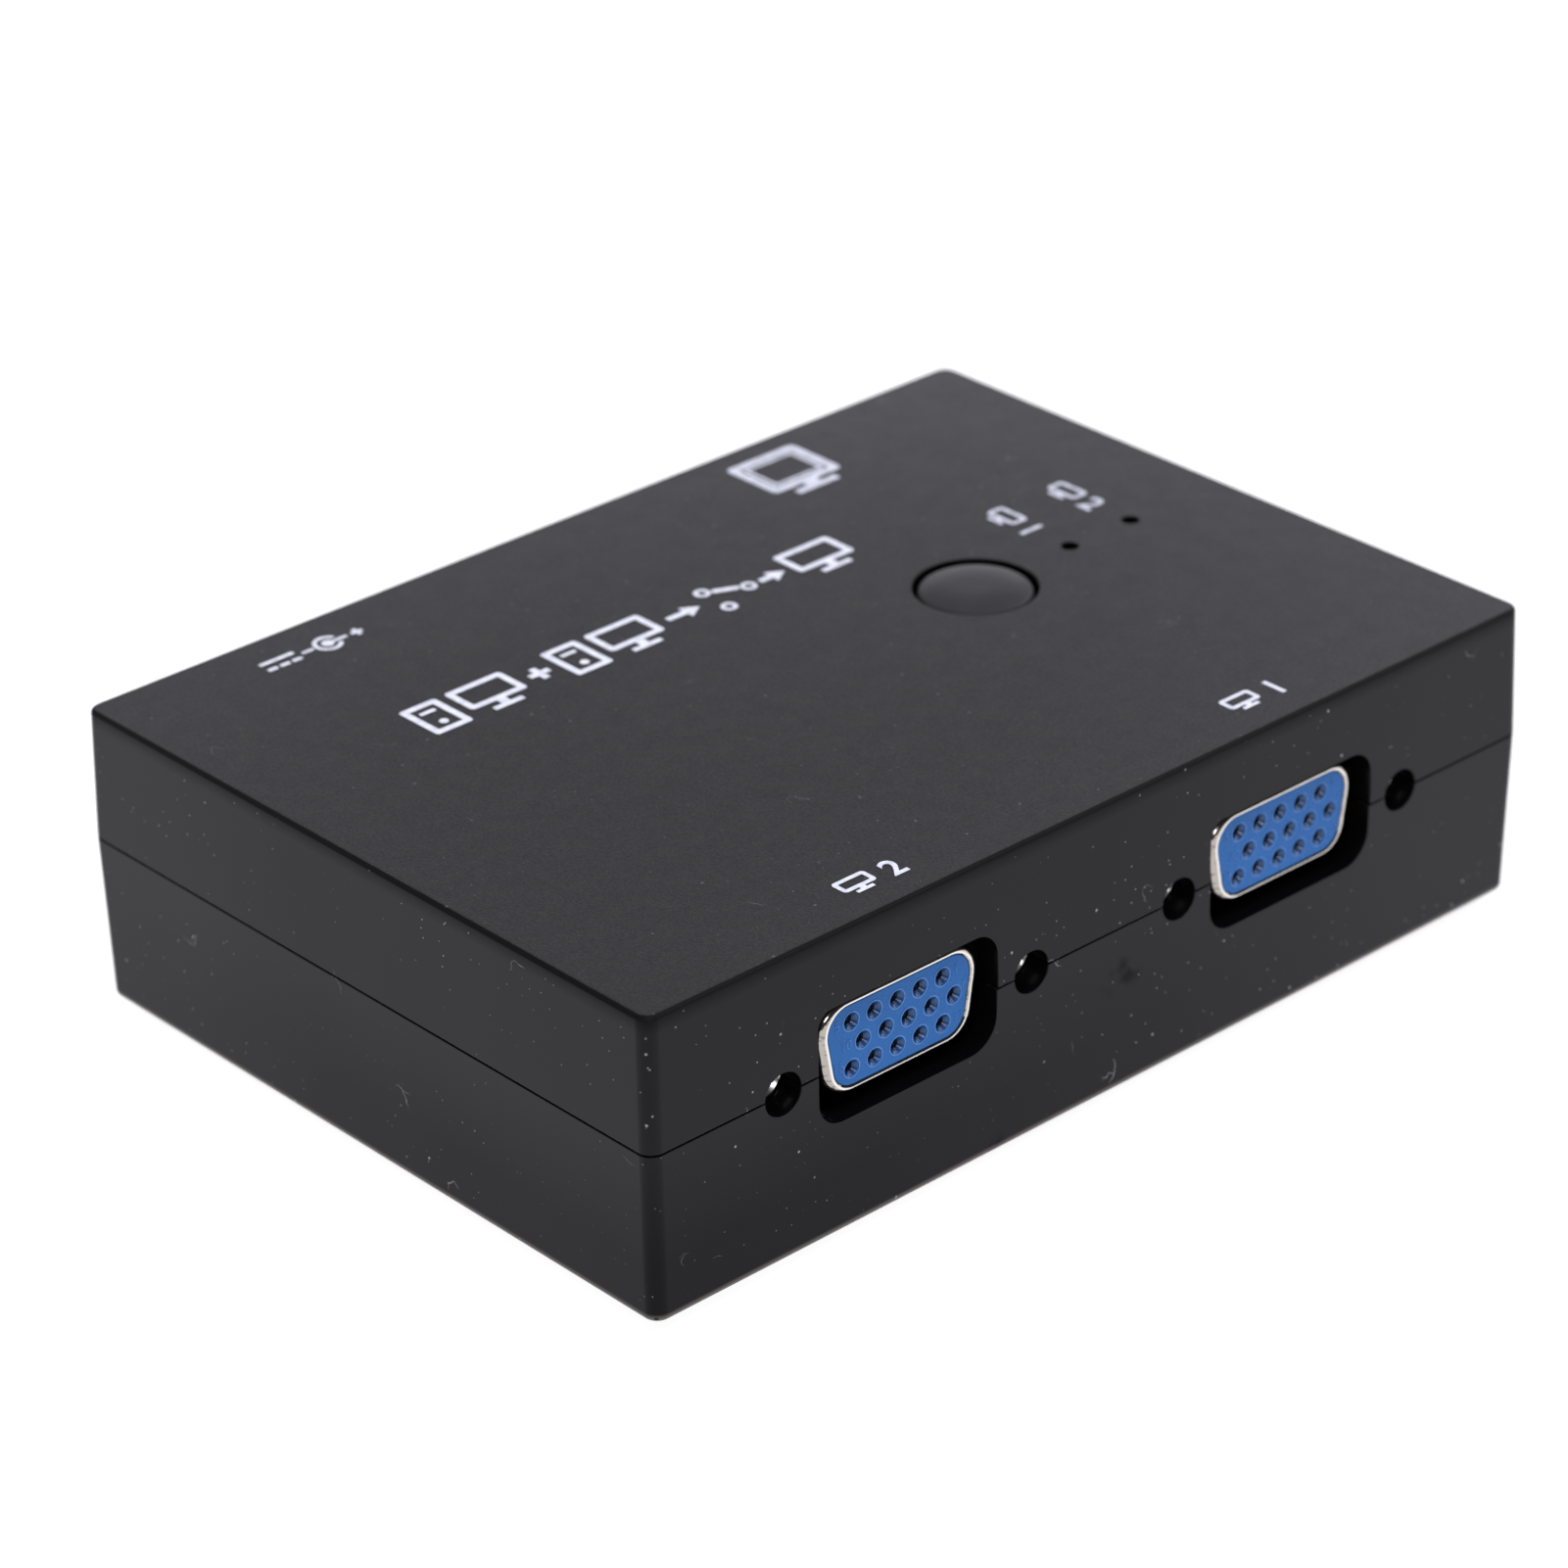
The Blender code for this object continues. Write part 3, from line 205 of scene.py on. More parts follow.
# Moulded contact numbers: each stroke's points, in a box one wide and one high
STROKES = {
    "0": [
        (0.5, 1.0), (0.15, 0.8), (0.05, 0.5), (0.15, 0.2), (0.5, 0.0),
        (0.85, 0.2), (0.95, 0.5), (0.85, 0.8), (0.5, 1.0),
    ],
    "1": [(0.15, 0.78), (0.55, 1.0), (0.55, 0.0)],
    "5": [
        (0.9, 1.0), (0.2, 1.0), (0.12, 0.55), (0.5, 0.63),
        (0.88, 0.45), (0.88, 0.2), (0.5, 0.0), (0.1, 0.1),
    ],
    "6": [
        (0.85, 0.95), (0.4, 0.95), (0.1, 0.55), (0.1, 0.2), (0.5, 0.0),
        (0.9, 0.2), (0.85, 0.5), (0.5, 0.6), (0.12, 0.4),
    ],
}
# The contact's index, its number, and the number's place from the contact in millimetres
NUMBERS = (
    (4, "1", 1.38, 0.12), (9, "6", 1.12, 0.62), (14, "11", 1.58, -0.05),
    (0, "5", -1.40, 0.10), (5, "10", -1.68, 0.12), (10, "15", -1.30, 0.50),
)
NUMBER_HEIGHT = 0.80 * MM
NUMBER_STROKE = 0.045 * MM

# Printed marks
INK_HALF = 0.012 * MM

# Stage
COOL_WHITE = (0.965, 0.958, 1.045)
SKY_STRENGTH = 0.05
FLOOR_GLOW = 3.75
FLOOR_HALF = 3.0
CAMERA_AZIMUTH = math.radians(-41.882)
CAMERA_ELEVATION = math.radians(28.33)
CAMERA_DISTANCE = 429.935 * MM
CAMERA_ROLL = math.radians(-1.129)
CAMERA_AIM = (-3.266 * MM, 0.0, 15.407 * MM)
CAMERA_LENS = 125.2
CAMERA_FSTOP = 36.0


# ---- shading graphs


class Paint:
    """A material and its node tree, with one short call for each node it uses."""

    def __init__(self, name):
        self.material = bpy.data.materials.new(name)
        self.material.use_nodes = True
        self.tree = self.material.node_tree
        self.surface = self.tree.nodes["Principled BSDF"]
        self.place = self.add("TexCoord").outputs["Object"]

    def add(self, kind, inputs=None, **settings):
        made = self.tree.nodes.new("ShaderNode" + kind)
        for key, value in settings.items():
            setattr(made, key, value)
        for key, value in (inputs or {}).items():
            self.feed(made.inputs[key], value)
        return made

    def feed(self, socket, value):
        if isinstance(value, bpy.types.NodeSocket):
            self.tree.links.new(value, socket)
        elif isinstance(value, tuple) and socket.type == "RGBA":
            socket.default_value = (*value, 1.0)
        else:
            socket.default_value = value

    def noise(self, scale, detail=3.0, stretch=(1, 1, 1)):
        place = self.place
        if stretch != (1, 1, 1):
            mapping = self.add("Mapping", {"Vector": place, "Scale": stretch})
            place = mapping.outputs["Vector"]
        made = self.add("TexNoise", {"Vector": place, "Scale": scale, "Detail": detail})
        return made.outputs["Fac"]

    def cells(self, scale):
        """Scattered cells: the distance to each cell's middle, and a grey value for each cell."""
        made = self.add("TexVoronoi", {"Vector": self.place, "Scale": scale})
        grey = self.add("SeparateColor", {"Color": made.outputs["Color"]})
        return made.outputs["Distance"], grey.outputs["Red"]

    def span(self, value, low, high, to_low=0.0, to_high=1.0):
        """The value rescaled from low..high to to_low..to_high, and held at its ends."""
        inputs = {"Value": value, "From Min": low, "From Max": high, "To Min": to_low, "To Max": to_high}
        return self.add("MapRange", inputs).outputs["Result"]

    def maths(self, operation, first, second):
        return self.add("Math", {0: first, 1: second}, operation=operation).outputs[0]

    def times(self, first, second):
        return self.maths("MULTIPLY", first, second)

    def most(self, first, *others):
        """The largest of some values."""
        for other in others:
            first = self.maths("MAXIMUM", first, other)
        return first

    def level(self, factor, first, second):
        """A value between two values."""
        return self.add("Mix", {0: factor, 2: first, 3: second}).outputs[0]

    def uneven(self, pattern, low, high, start=0.3, end=0.7):
        """A value or a colour that follows a pattern: low up to start, high from end on."""
        if isinstance(low, tuple):
            return self.blend(self.span(pattern, start, end), low, high)
        return self.span(pattern, start, end, low, high)

    def blend(self, factor, first, second):
        """A colour between two colours."""
        made = self.add("Mix", data_type="RGBA")
        self.feed(made.inputs[0], factor)
        self.feed(made.inputs[6], first)
        self.feed(made.inputs[7], second)
        return made.outputs[2]

    def facing(self, axis):
        """How far the surface looks along an axis: 1 along it, 0 across it, -1 against it."""
        normal = self.add("TexCoord").outputs["Normal"]
        return self.add("SeparateXYZ", {"Vector": normal}).outputs[axis]

    def along(self, axis):
        """The place along one axis of the piece."""
        return self.add("SeparateXYZ", {"Vector": self.place}).outputs[axis]

    def reach(self, middle, scale=(1, 1, 0)):
        """The distance in plan from a point, each axis first scaled."""
        kind = "VectorMath"
        offset = self.add(kind, {0: self.place, 1: middle}, operation="SUBTRACT").outputs[0]
        scaled = self.add(kind, {0: offset, 1: scale}, operation="MULTIPLY").outputs[0]
        return self.add(kind, {0: scaled}, operation="LENGTH").outputs["Value"]

    def bump(self, height, depth, strength=1.0, under=None):
        inputs = {"Height": height, "Distance": depth, "Strength": strength}
        if under is not None:
            inputs["Normal"] = under
        return self.add("Bump", inputs).outputs["Normal"]

    def finish(self, **inputs):
        names = {
            "colour": "Base Color", "roughness": "Roughness", "metallic": "Metallic", "normal": "Normal",
            "specular": "Specular IOR Level", "coat": "Coat Weight", "transmission": "Transmission Weight",
            "emission": "Emission Color", "glow": "Emission Strength",
        }
        for key, value in inputs.items():
            self.feed(self.surface.inputs[names[key]], value)
        return self.material


def specks(paint, scale, radius, share):
    """Sparse small dots: 1 inside a dot, 0 outside. share is the part of the cells that hold one."""
    distance, grey = paint.cells(scale)
    return paint.times(paint.span(distance, radius, radius * 0.5), paint.maths("LESS_THAN", grey, share))


def fibres(paint, scale, width, patch_scale, share):
    """Sparse short hairs: thin bent lines, kept only inside a few scattered patches."""
    bend = paint.add("TexNoise", {"Vector": paint.place, "Scale": scale * 1.5}).outputs["Color"]
    turns = {0: bend, 1: (0.003, 0.003, 0.003), 2: paint.place}
    bent = paint.add("VectorMath", turns, operation="MULTIPLY_ADD").outputs[0]
    lines = paint.add("TexVoronoi", {"Vector": bent, "Scale": scale}, feature="DISTANCE_TO_EDGE")
    hair = paint.span(lines.outputs["Distance"], width, width * 0.4)
    return paint.times(hair, specks(paint, patch_scale, 0.34, share))


def case_dust(paint):
    """Pale specks and a few short hairs that lie on the case, fainter on its top."""
    patchy = paint.span(paint.noise(70.0, 3.0), 0.42, 0.60, 0.15, 1.0)
    small = paint.times(specks(paint, 1100.0, 0.085, 0.8), patchy)
    middling = specks(paint, 520.0, 0.070, 0.5)
    large = specks(paint, 270.0, 0.030, 0.4)
    dust = paint.most(small, middling, large, fibres(paint, 300.0, 0.008, 300.0, 0.06))
    return paint.times(dust, paint.span(paint.facing("Z"), 0.90, 0.97, 1.0, 0.30))


def side_sheen(paint):
    """The sides' reflectance: painted shade under the top edge and low by the near corner, less in a few
    smudges.
    """
    height = paint.along("Z")
    reach = paint.reach((-HALF_LENGTH, -HALF_WIDTH, 0.0))
    low = paint.span(height, PARTING, CASE_BOTTOM + 5 * MM)
    # painted shade: less sheen low down by the near corner, under the top edge and, a little, all round the
    # near corner
    dim = paint.times(low, paint.span(reach, 0.020, 0.080, 0.38, 0.0))
    under_edge = paint.span(height, CASE_TOP - 1.5 * MM, CASE_TOP - 0.4 * MM, 0.0, 0.55)
    blotch = paint.span(paint.noise(420.0, 2.0), 0.50, 0.64, 0.0, 0.55)
    smudge = paint.times(specks(paint, 75.0, 0.22, 0.16), blotch)
    sheen = paint.maths("SUBTRACT", 1.0, dim)
    sheen = paint.maths("SUBTRACT", sheen, paint.most(under_edge, smudge))
    return paint.times(sheen, paint.span(reach, 0.040, 0.090, 0.155, 0.180))


def case_paint():
    """Black moulded plastic: a fine matte grain on top, satin sides, a near-black rounded top edge (painted
    shade), a pale line low down (a painted reflection of the floor), and a little dust."""
    paint = Paint("case_plastic")
    grain = paint.noise(5200.0, 2.0)
    mottle = paint.noise(420.0, 3.0)
    rise = paint.facing("Z")
    up = paint.span(rise, 0.90, 0.97)
    fine = paint.uneven(grain, (0.0026, 0.0025, 0.0027), (0.0080, 0.0077, 0.0082), 0.35, 0.65)
    broad = paint.uneven(paint.noise(38.0, 4.0), (0.0033, 0.0032, 0.0048), (0.0044, 0.0042, 0.0062))
    colour = paint.blend(paint.times(up, 0.75), broad, fine)
    # painted reflection: a pale warm band along the bottom edge stands in for the white floor reflected
    # there
    painted_floor_reflection = paint.span(paint.along("Z"), CASE_BOTTOM + 0.75 * MM, CASE_BOTTOM + 0.40 * MM)
    painted_floor_reflection = paint.times(painted_floor_reflection, paint.span(rise, -0.999, -0.99))
    colour = paint.blend(painted_floor_reflection, colour, (0.140, 0.122, 0.110))
    colour = paint.blend(paint.times(case_dust(paint), 0.8), colour, (0.42, 0.42, 0.42))
    # painted shade, with the sheen cut below: the rounded top edges take one even near-black colour
    below_top = paint.span(rise, 0.985, 0.93)
    rounded = paint.times(paint.span(rise, 0.05, 0.40), below_top)
    colour = paint.blend(rounded, colour, (0.0085, 0.0084, 0.0087))
    smear = paint.noise(26.0, 5.0, (1.0, 1.0, 0.35))
    roughness = paint.level(up, paint.uneven(smear, 0.30, 0.42), paint.uneven(mottle, 0.47, 0.53))
    # painted highlight: the top's sheen grows towards its edges
    reach = paint.reach((0.0, 0.0, 0.0), (1 / HALF_LENGTH, 1 / HALF_WIDTH, 0.0))
    spread = paint.span(reach, 0.55, 1.15, 1.0, 1.22)
    sheen = paint.level(up, side_sheen(paint), paint.times(paint.uneven(grain, 0.225, 0.345), spread))
    # painted shade: the sheen on the rounded top edges is cut to a tenth, so that they read as a dark line
    front = paint.times(paint.maths("MINIMUM", paint.facing("Y"), 0.0), 0.9)
    edge = paint.times(paint.span(paint.maths("ADD", rise, front), 0.05, 0.40), below_top)
    specular = paint.times(sheen, paint.span(edge, 0.0, 1.0, 1.0, 0.10))
    normal = paint.bump(grain, 0.012 * MM, paint.span(up, 0.0, 1.0, 0.03, 1.0))
    normal = paint.bump(mottle, 0.008 * MM, 0.25, normal)
    return paint.finish(colour=colour, roughness=roughness, specular=specular, normal=normal)


def inner_case_paint():
    """The glossy moulded walls of the openings and the inside of the case, darker than the outside as
    painted shade.
    """
    paint = Paint("case_plastic_inner")
    wave = paint.noise(160.0, 3.0)
    dust = paint.times(specks(paint, 520.0, 0.05, 0.12), 0.3)
    # painted shade: a darker base than the outer case's
    colour = paint.blend(dust, (0.0022, 0.0022, 0.0026), (0.25, 0.25, 0.24))
    roughness = paint.uneven(wave, 0.16, 0.28)
    normal = paint.bump(wave, 0.02 * MM, 0.4)
    return paint.finish(colour=colour, roughness=roughness, specular=0.16, normal=normal)


def button_paint():
    """Dark plastic with a little dust and less sheen than the case."""
    paint = Paint("button_plastic")
    cloud = paint.noise(300.0, 3.0)
    colour = paint.uneven(cloud, (0.0320, 0.0314, 0.0326), (0.0370, 0.0362, 0.0376))
    dust = paint.times(specks(paint, 420.0, 0.04, 0.10), 0.2)
    colour = paint.blend(dust, colour, (0.3, 0.3, 0.3))
    roughness = paint.uneven(cloud, 0.38, 0.46)
    normal = paint.bump(paint.noise(5200.0, 2.0), 0.010 * MM, 0.3)
    return paint.finish(colour=colour, roughness=roughness, specular=0.05, normal=normal)


def insulator_paint():
    """Blue moulded insulator, slightly uneven and scuffed, with a painted highlight on the holes' rims
    and painted shade down the holes.
    """
    paint = Paint("insulator_blue")
    grain = paint.noise(4200.0, 2.0)
    colour = paint.uneven(paint.noise(260.0, 4.0), (0.006, 0.112, 0.375), (0.010, 0.128, 0.420))
    scuffs = paint.times(specks(paint, 900.0, 0.07, 0.10), 0.25)
    colour = paint.blend(scuffs, colour, (0.12, 0.30, 0.70))
    depth = paint.along("Y")
    # painted highlight: paler where the face stands proud, on the raised rims round the holes
    rim = paint.span(depth, FACE_Y - RIM_HEIGHT * 0.4, FACE_Y - RIM_HEIGHT, 0.0, 0.75)
    colour = paint.blend(rim, colour, (0.13, 0.29, 0.66))
    # painted shade: darker down each hole's tapered entry and near-black deeper in
    entry_end = FACE_Y + ENTRY_DEPTH
    inside = paint.span(depth, FACE_Y + 0.04 * MM, FACE_Y + 0.10 * MM)
    entry = paint.times(inside, paint.span(depth, FACE_Y + 0.02 * MM, entry_end, 0.40, 0.78))
    shade = paint.most(entry, paint.span(depth, entry_end, entry_end + 0.25 * MM, 0.0, 0.97))
    colour = paint.blend(shade, colour, (0.0012, 0.0060, 0.0240))
    roughness = paint.maths("SUBTRACT", paint.uneven(grain, 0.24, 0.34), paint.times(inside, 0.05))
    specular = paint.span(inside, 0.0, 1.0, 0.20, 0.55)
    normal = paint.bump(grain, 0.006 * MM, 0.3)
    return paint.finish(colour=colour, roughness=roughness, specular=specular, normal=normal)


def nickel_paint(name, stretch, depth, rough, lip):
    """Nickel plate: bright right at the lip, which is a depth in metres, dull and scratched behind it."""
    paint = Paint(name)
    brushed = paint.noise(2600.0, 3.0, stretch)
    scratch = paint.noise(1500.0, 4.0, (1.0, 0.4, 2.4))
    dull = paint.uneven(paint.noise(220.0, 3.0), (0.36, 0.33, 0.295), (0.46, 0.43, 0.39))
    dull = paint.blend(paint.span(scratch, 0.54, 0.66, 0.0, 0.8), dull, (0.17, 0.15, 0.13))
    behind_lip = paint.span(paint.along("Y"), lip + 0.003 * MM, lip + 0.025 * MM)
    colour = paint.blend(behind_lip, (0.78, 0.75, 0.70), dull)
    roughness = paint.uneven(brushed, rough - 0.06, rough + 0.05, 0.25, 0.75)
    normal = paint.bump(brushed, depth * 0.6, 0.5, paint.bump(scratch, depth, 0.7))
    return paint.finish(colour=colour, roughness=roughness, metallic=1.0, normal=normal)


def plain_paint(name, tints, cloud, gloss, grain, bump, ends=(0.3, 0.7), **more):
    """An uneven tint and a grain. cloud and grain are noise settings, gloss is the roughness's two ends."""
    paint = Paint(name)
    fine = paint.noise(*grain)
    colour = paint.uneven(paint.noise(*cloud), *tints, *ends)
    normal = paint.bump(fine, *bump)
    return paint.finish(colour=colour, roughness=paint.uneven(fine, *gloss), normal=normal, **more)


def moulded_paint(name, low, high, rough):
    """Plain dark moulded plastic, rubber or epoxy."""
    gloss, grain, bump = (rough - 0.06, rough + 0.06), (2600.0, 3.0), (0.015 * MM, 0.5)
    return plain_paint(name, (low, high), (240.0, 3.0), gloss, grain, bump, specular=0.35)


def lamp_paint():
    """Clear, faintly milky epoxy."""
    paint = Paint("lamp_epoxy")
    cloud = paint.noise(500.0, 2.0)
    colour = paint.blend(cloud, (0.70, 0.75, 0.80), (0.85, 0.88, 0.90))
    return paint.finish(colour=colour, roughness=paint.uneven(cloud, 0.04, 0.12), transmission=0.8)


def print_paint(name, low, high):
    """Screen-printed ink: slightly uneven cover, matte."""
    gloss, grain, bump = (0.45, 0.60), (4200.0, 2.0), (0.01 * MM, 0.4)
    return plain_paint(name, (low, high), (1500.0, 3.0), gloss, grain, bump, (0.35, 0.60), specular=0.25)


# The material of each kind of surface
PAINTS = {
    "case": case_paint(),
    "inner": inner_case_paint(),
    "button": button_paint(),
    "blue": insulator_paint(),
    "shell": nickel_paint("nickel_plate", (0.25, 1.0, 1.0), 0.020 * MM, 0.10, D_RECESS),
    "nut": nickel_paint("nickel_turned", (1.0, 0.2, 1.0), 0.004 * MM, 0.22, 20 * MM),
    "spring": plain_paint(
        "spring_brass", ((0.62, 0.44, 0.18), (0.78, 0.60, 0.30)), (600.0, 4.0),
        (0.20, 0.36), (600.0, 4.0), (0.01 * MM, 0.3), metallic=1.0,
    ),
    "steel": plain_paint(
        "zinc_steel", ((0.44, 0.45, 0.47), (0.60, 0.60, 0.60)), (260.0, 4.0),
        (0.26, 0.46), (1900.0, 3.0), (0.01 * MM, 0.5), (0.35, 0.65), metallic=1.0,
    ),
    "board": plain_paint(
        "board_mask", ((0.008, 0.075, 0.032), (0.016, 0.135, 0.055)), (90.0, 2.0, (1.0, 3.0, 1.0)),
        (0.25, 0.40), (1400.0, 2.0), (0.01 * MM, 0.4), (0.48, 0.52), coat=0.3,
    ),
    "chip": moulded_paint("chip_epoxy", (0.012, 0.012, 0.013), (0.020, 0.020, 0.021), 0.55),
    "jack": moulded_paint("jack_plastic", (0.010, 0.010, 0.011), (0.016, 0.016, 0.017), 0.32),
    "sleeve": moulded_paint("can_sleeve", (0.015, 0.022, 0.075), (0.025, 0.036, 0.110), 0.30),
    "rubber": moulded_paint("foot_rubber", (0.014, 0.014, 0.015), (0.026, 0.025, 0.025), 0.78),
    "lamp": lamp_paint(),
    "ink": print_paint("ink_white", (0.54, 0.56, 0.61), (0.69, 0.71, 0.76)),
    "ink_grey": print_paint("ink_pale_grey", (0.42, 0.44, 0.49), (0.60, 0.62, 0.68)),
}


# ---- mesh building blocks


def linked(name, data):
    """A new object in the scene."""
    item = bpy.data.objects.new(name, data)
    bpy.context.scene.collection.objects.link(item)
    return item


def baked(item):
    """An object's final mesh. The object itself goes."""
    graph = bpy.context.evaluated_depsgraph_get()
    mesh = bpy.data.meshes.new_from_object(item.evaluated_get(graph))
    bpy.data.objects.remove(item)
    return mesh


def mesh_from(shape):
    bmesh.ops.recalc_face_normals(shape, faces=shape.faces)
    mesh = bpy.data.meshes.new("shape")
    shape.to_mesh(mesh)
    shape.free()
    return mesh


def moved(mesh, offset, turn_z=0.0):
    mesh.transform(Matrix.Translation(offset) @ Matrix.Rotation(turn_z, 4, "Z"))
    return mesh


def bevel(shape, edges, radius, segments):
    bmesh.ops.bevel(shape, geom=edges, offset=radius, segments=segments, profile=0.5, affect="EDGES")


def box(low, high, rounding=0.0):
    low, high = Vector(low), Vector(high)
    shape = bmesh.new()
    bmesh.ops.create_cube(shape, size=1.0)
    bmesh.ops.scale(shape, vec=high - low, verts=shape.verts)
    bmesh.ops.translate(shape, vec=(low + high) / 2, verts=shape.verts)
    if rounding:
        bevel(shape, shape.edges[:], rounding, 2)
    return mesh_from(shape)


def cylinder(start, end, radius, segments=32):
    start, end = Vector(start), Vector(end)
    turn = (end - start).to_track_quat("Z", "Y").to_matrix().to_4x4()
    place = Matrix.Translation((start + end) / 2) @ turn
    sizes = {"radius1": radius, "radius2": radius, "depth": (end - start).length}
    shape = bmesh.new()
    bmesh.ops.create_cone(shape, cap_ends=True, segments=segments, matrix=place, **sizes)
    return mesh_from(shape)


def columns(places, low_z, high_z, radius, segments=32):
    """Upright cylinders at some (x, y) places."""
    return [cylinder((x, y, low_z), (x, y, high_z), radius, segments) for x, y in places]


def rounded_block(low_half, high_half, low_z, high_z, corner, low_edge=0.0, high_edge=0.0):
    """A block about the Z axis with round upright corners, tapering from low_half to high_half."""
    shape = bmesh.new()
    bmesh.ops.create_cube(shape, size=2.0)
    for vertex in shape.verts:
        half, z = (high_half, high_z) if vertex.co.z > 0 else (low_half, low_z)
        vertex.co = (vertex.co.x * half[0], vertex.co.y * half[1], z)
    uprights = [e for e in shape.edges if abs(e.verts[0].co.z - e.verts[1].co.z) > (high_z - low_z) / 2]
    bevel(shape, uprights, corner, 12)
    for end_z, radius in ((high_z, high_edge), (low_z, low_edge)):
        if radius:
            rim = [e for e in shape.edges if all(abs(v.co.z - end_z) < SAME_PLACE for v in e.verts)]
            bevel(shape, rim, radius, 6 if radius > FINE_EDGE else 2)
    return mesh_from(shape)


def loft(sections):
    """A closed solid through outlines with equal numbers of points. Each section is (y, [(x, z), ...])."""
    shape = bmesh.new()
    rings = [[shape.verts.new((x, y, z)) for x, z in outline] for y, outline in sections]
    count = len(rings[0])
    for near, far in zip(rings, rings[1:]):
        for i in range(count):
            j = (i + 1) % count
            shape.faces.new((near[i], near[j], far[j], far[i]))
    shape.faces.new(rings[0])
    shape.faces.new(rings[-1])
    return mesh_from(shape)


def turned(profile, steps=ROUND_STEPS):
    """A profile of (radius, z) points, top of the axis first, spun round the Z axis."""
    mesh = bpy.data.meshes.new("profile")
    mesh.from_pydata([(r, 0, z) for r, z in profile], [(i, i + 1) for i in range(len(profile) - 1)], [])
    holder = linked("profile", mesh)
    screw = holder.modifiers.new("Screw", "SCREW")
    screw.steps = steps
    screw.render_steps = steps
    screw.use_merge_vertices = True
    screw.merge_threshold = 10 * SAME_PLACE
    return baked(holder)


def gathered(meshes):
    shape = bmesh.new()
    for mesh in meshes:
        shape.from_mesh(mesh)
    made = bpy.data.meshes.new("gathered")
    shape.to_mesh(made)
    shape.free()
    return made


def combined(mesh, operation, others):
    for other in others:
        target = linked("target", mesh)
        tool = linked("tool", other)
        modifier = target.modifiers.new("Boolean", "BOOLEAN")
        modifier.operation = operation
        modifier.solver = "EXACT"
        modifier.object = tool
        mesh = baked(target)
        bpy.data.objects.remove(tool)
    return mesh


def united(mesh, *others):
    return combined(mesh, "UNION", others)


def cut(mesh, *others):
    return combined(mesh, "DIFFERENCE", others)


def piece(name, mesh, kind, replaced=None, location=(0, 0, 0), turn=(0, 0, 0), body="case"):
    """A finished piece: its mesh, material, shading, place, and the body it rides on."""
    item = linked(name, mesh)
    if not mesh.materials:
        mesh.materials.append(PAINTS[kind])
    mesh.shade_smooth()
    mesh.set_sharp_from_angle(angle=SHARP_ANGLE)
    weighted = item.modifiers.new("Weighted normals", "WEIGHTED_NORMAL")
    weighted.keep_sharp = True
    item.location = location
    item.rotation_euler = turn
    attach(item, body)
    if replaced:
        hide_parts(replaced)
    return item


def arc(middle, radius, start, end, segments):
    """Points on a circular arc, ends included. Angles in degrees."""
    angles = [math.radians(start + (end - start) * i / segments) for i in range(segments + 1)]
    return [(middle[0] + radius * math.cos(a), middle[1] + radius * math.sin(a)) for a in angles]


def soft_rectangle(x0, y0, x1, y1, radii, grow=0.0, segments=5):
    """A rectangle's outline from its low left corner on, each corner with its radius, offset by grow."""
    low_left, low_right, high_right, high_left = radii
    outline = arc((x0 + low_left, y0 + low_left), low_left + grow, 180, 270, segments)
    outline += arc((x1 - low_right, y0 + low_right), low_right + grow, 270, 360, segments)
    outline += arc((x1 - high_right, y1 - high_right), high_right + grow, 0, 90, segments)
    return outline + arc((x0 + high_left, y1 - high_left), high_left + grow, 90, 180, segments)


def d_outline(width, height, radius, grow=0.0, segments=10):
    """The D outline of a video socket, wide side up, offset outwards by grow."""
    sine, cosine = math.sin(D_LEAN), math.cos(D_LEAN)
    lean = math.degrees(D_LEAN)
    top_x = width / 2 - radius
    top_corner = top_x + radius * (1 + sine) / cosine
    bottom_x = top_corner - height * sine / cosine - radius * (1 - sine) / cosine
    right = arc((bottom_x, radius - height / 2), radius + grow, -90, -lean, segments)
    right += arc((top_x, height / 2 - radius), radius + grow, -lean, 90, segments)
    return right + [(-x, z) for x, z in reversed(right)]


def tube_outline(grow=0.0):
    return d_outline(D_WIDTH, D_HEIGHT, D_RADIUS, grow)


def lip_outline(grow=0.0):
    return d_outline(LIP_WIDTH, LIP_HEIGHT, LIP_RADIUS, grow)


def window_outline(grow, right_shift):
    """The opening round a socket, about the middle of its two screw holes, offset outwards by grow."""
    right = WINDOW_HALF - right_shift
    return soft_rectangle(-WINDOW_HALF, WINDOW_LOW, right, WINDOW_HIGH, WINDOW_RADII, grow, 10)


def circle_outline(radius, grow):
    return arc((0, 0), radius + grow, 0, 360 - 360 / ROUND_STEPS, ROUND_STEPS - 1)


def edge_sections(outline):
    """Sections of a cutter through a side wall at y = 0, flared so that the cut's outer edge is rounded."""
    edge = OPENING_EDGE
    sections = [(-OVERSHOOT, outline(edge * 1.8)), (-edge * 0.3, outline(edge * 1.25))]
    for i in range(4):
        angle = math.radians(30 * i)
        sections.append((edge * (1 - math.cos(angle)), outline(edge * (1 - math.sin(angle)))))
    sections.append((SIDE_WALL + OVERSHOOT, outline(0.0)))
    return sections


# ---- case


def round_cutter(radius):
    """A cutter for a round hole through a side wall."""
    return loft(edge_sections(lambda grow: circle_outline(radius, grow)))


def socket_cutters(right_shift=0.0):
    """The three windows and their screw holes, with rounded outer edges."""
    cutters = []
    for x, face_y, turn in SOCKETS.values():
        window = loft(edge_sections(lambda grow: window_outline(grow, right_shift)))
        cutters.append(moved(window, (x, face_y, PARTING), turn))
        for side in (-1, 1):
            place = (x + side * JACK_SPACING / 2, face_y, PARTING)
            cutters.append(moved(round_cutter(SCREW_HOLE_RADIUS), place, turn))
    return gathered(cutters)


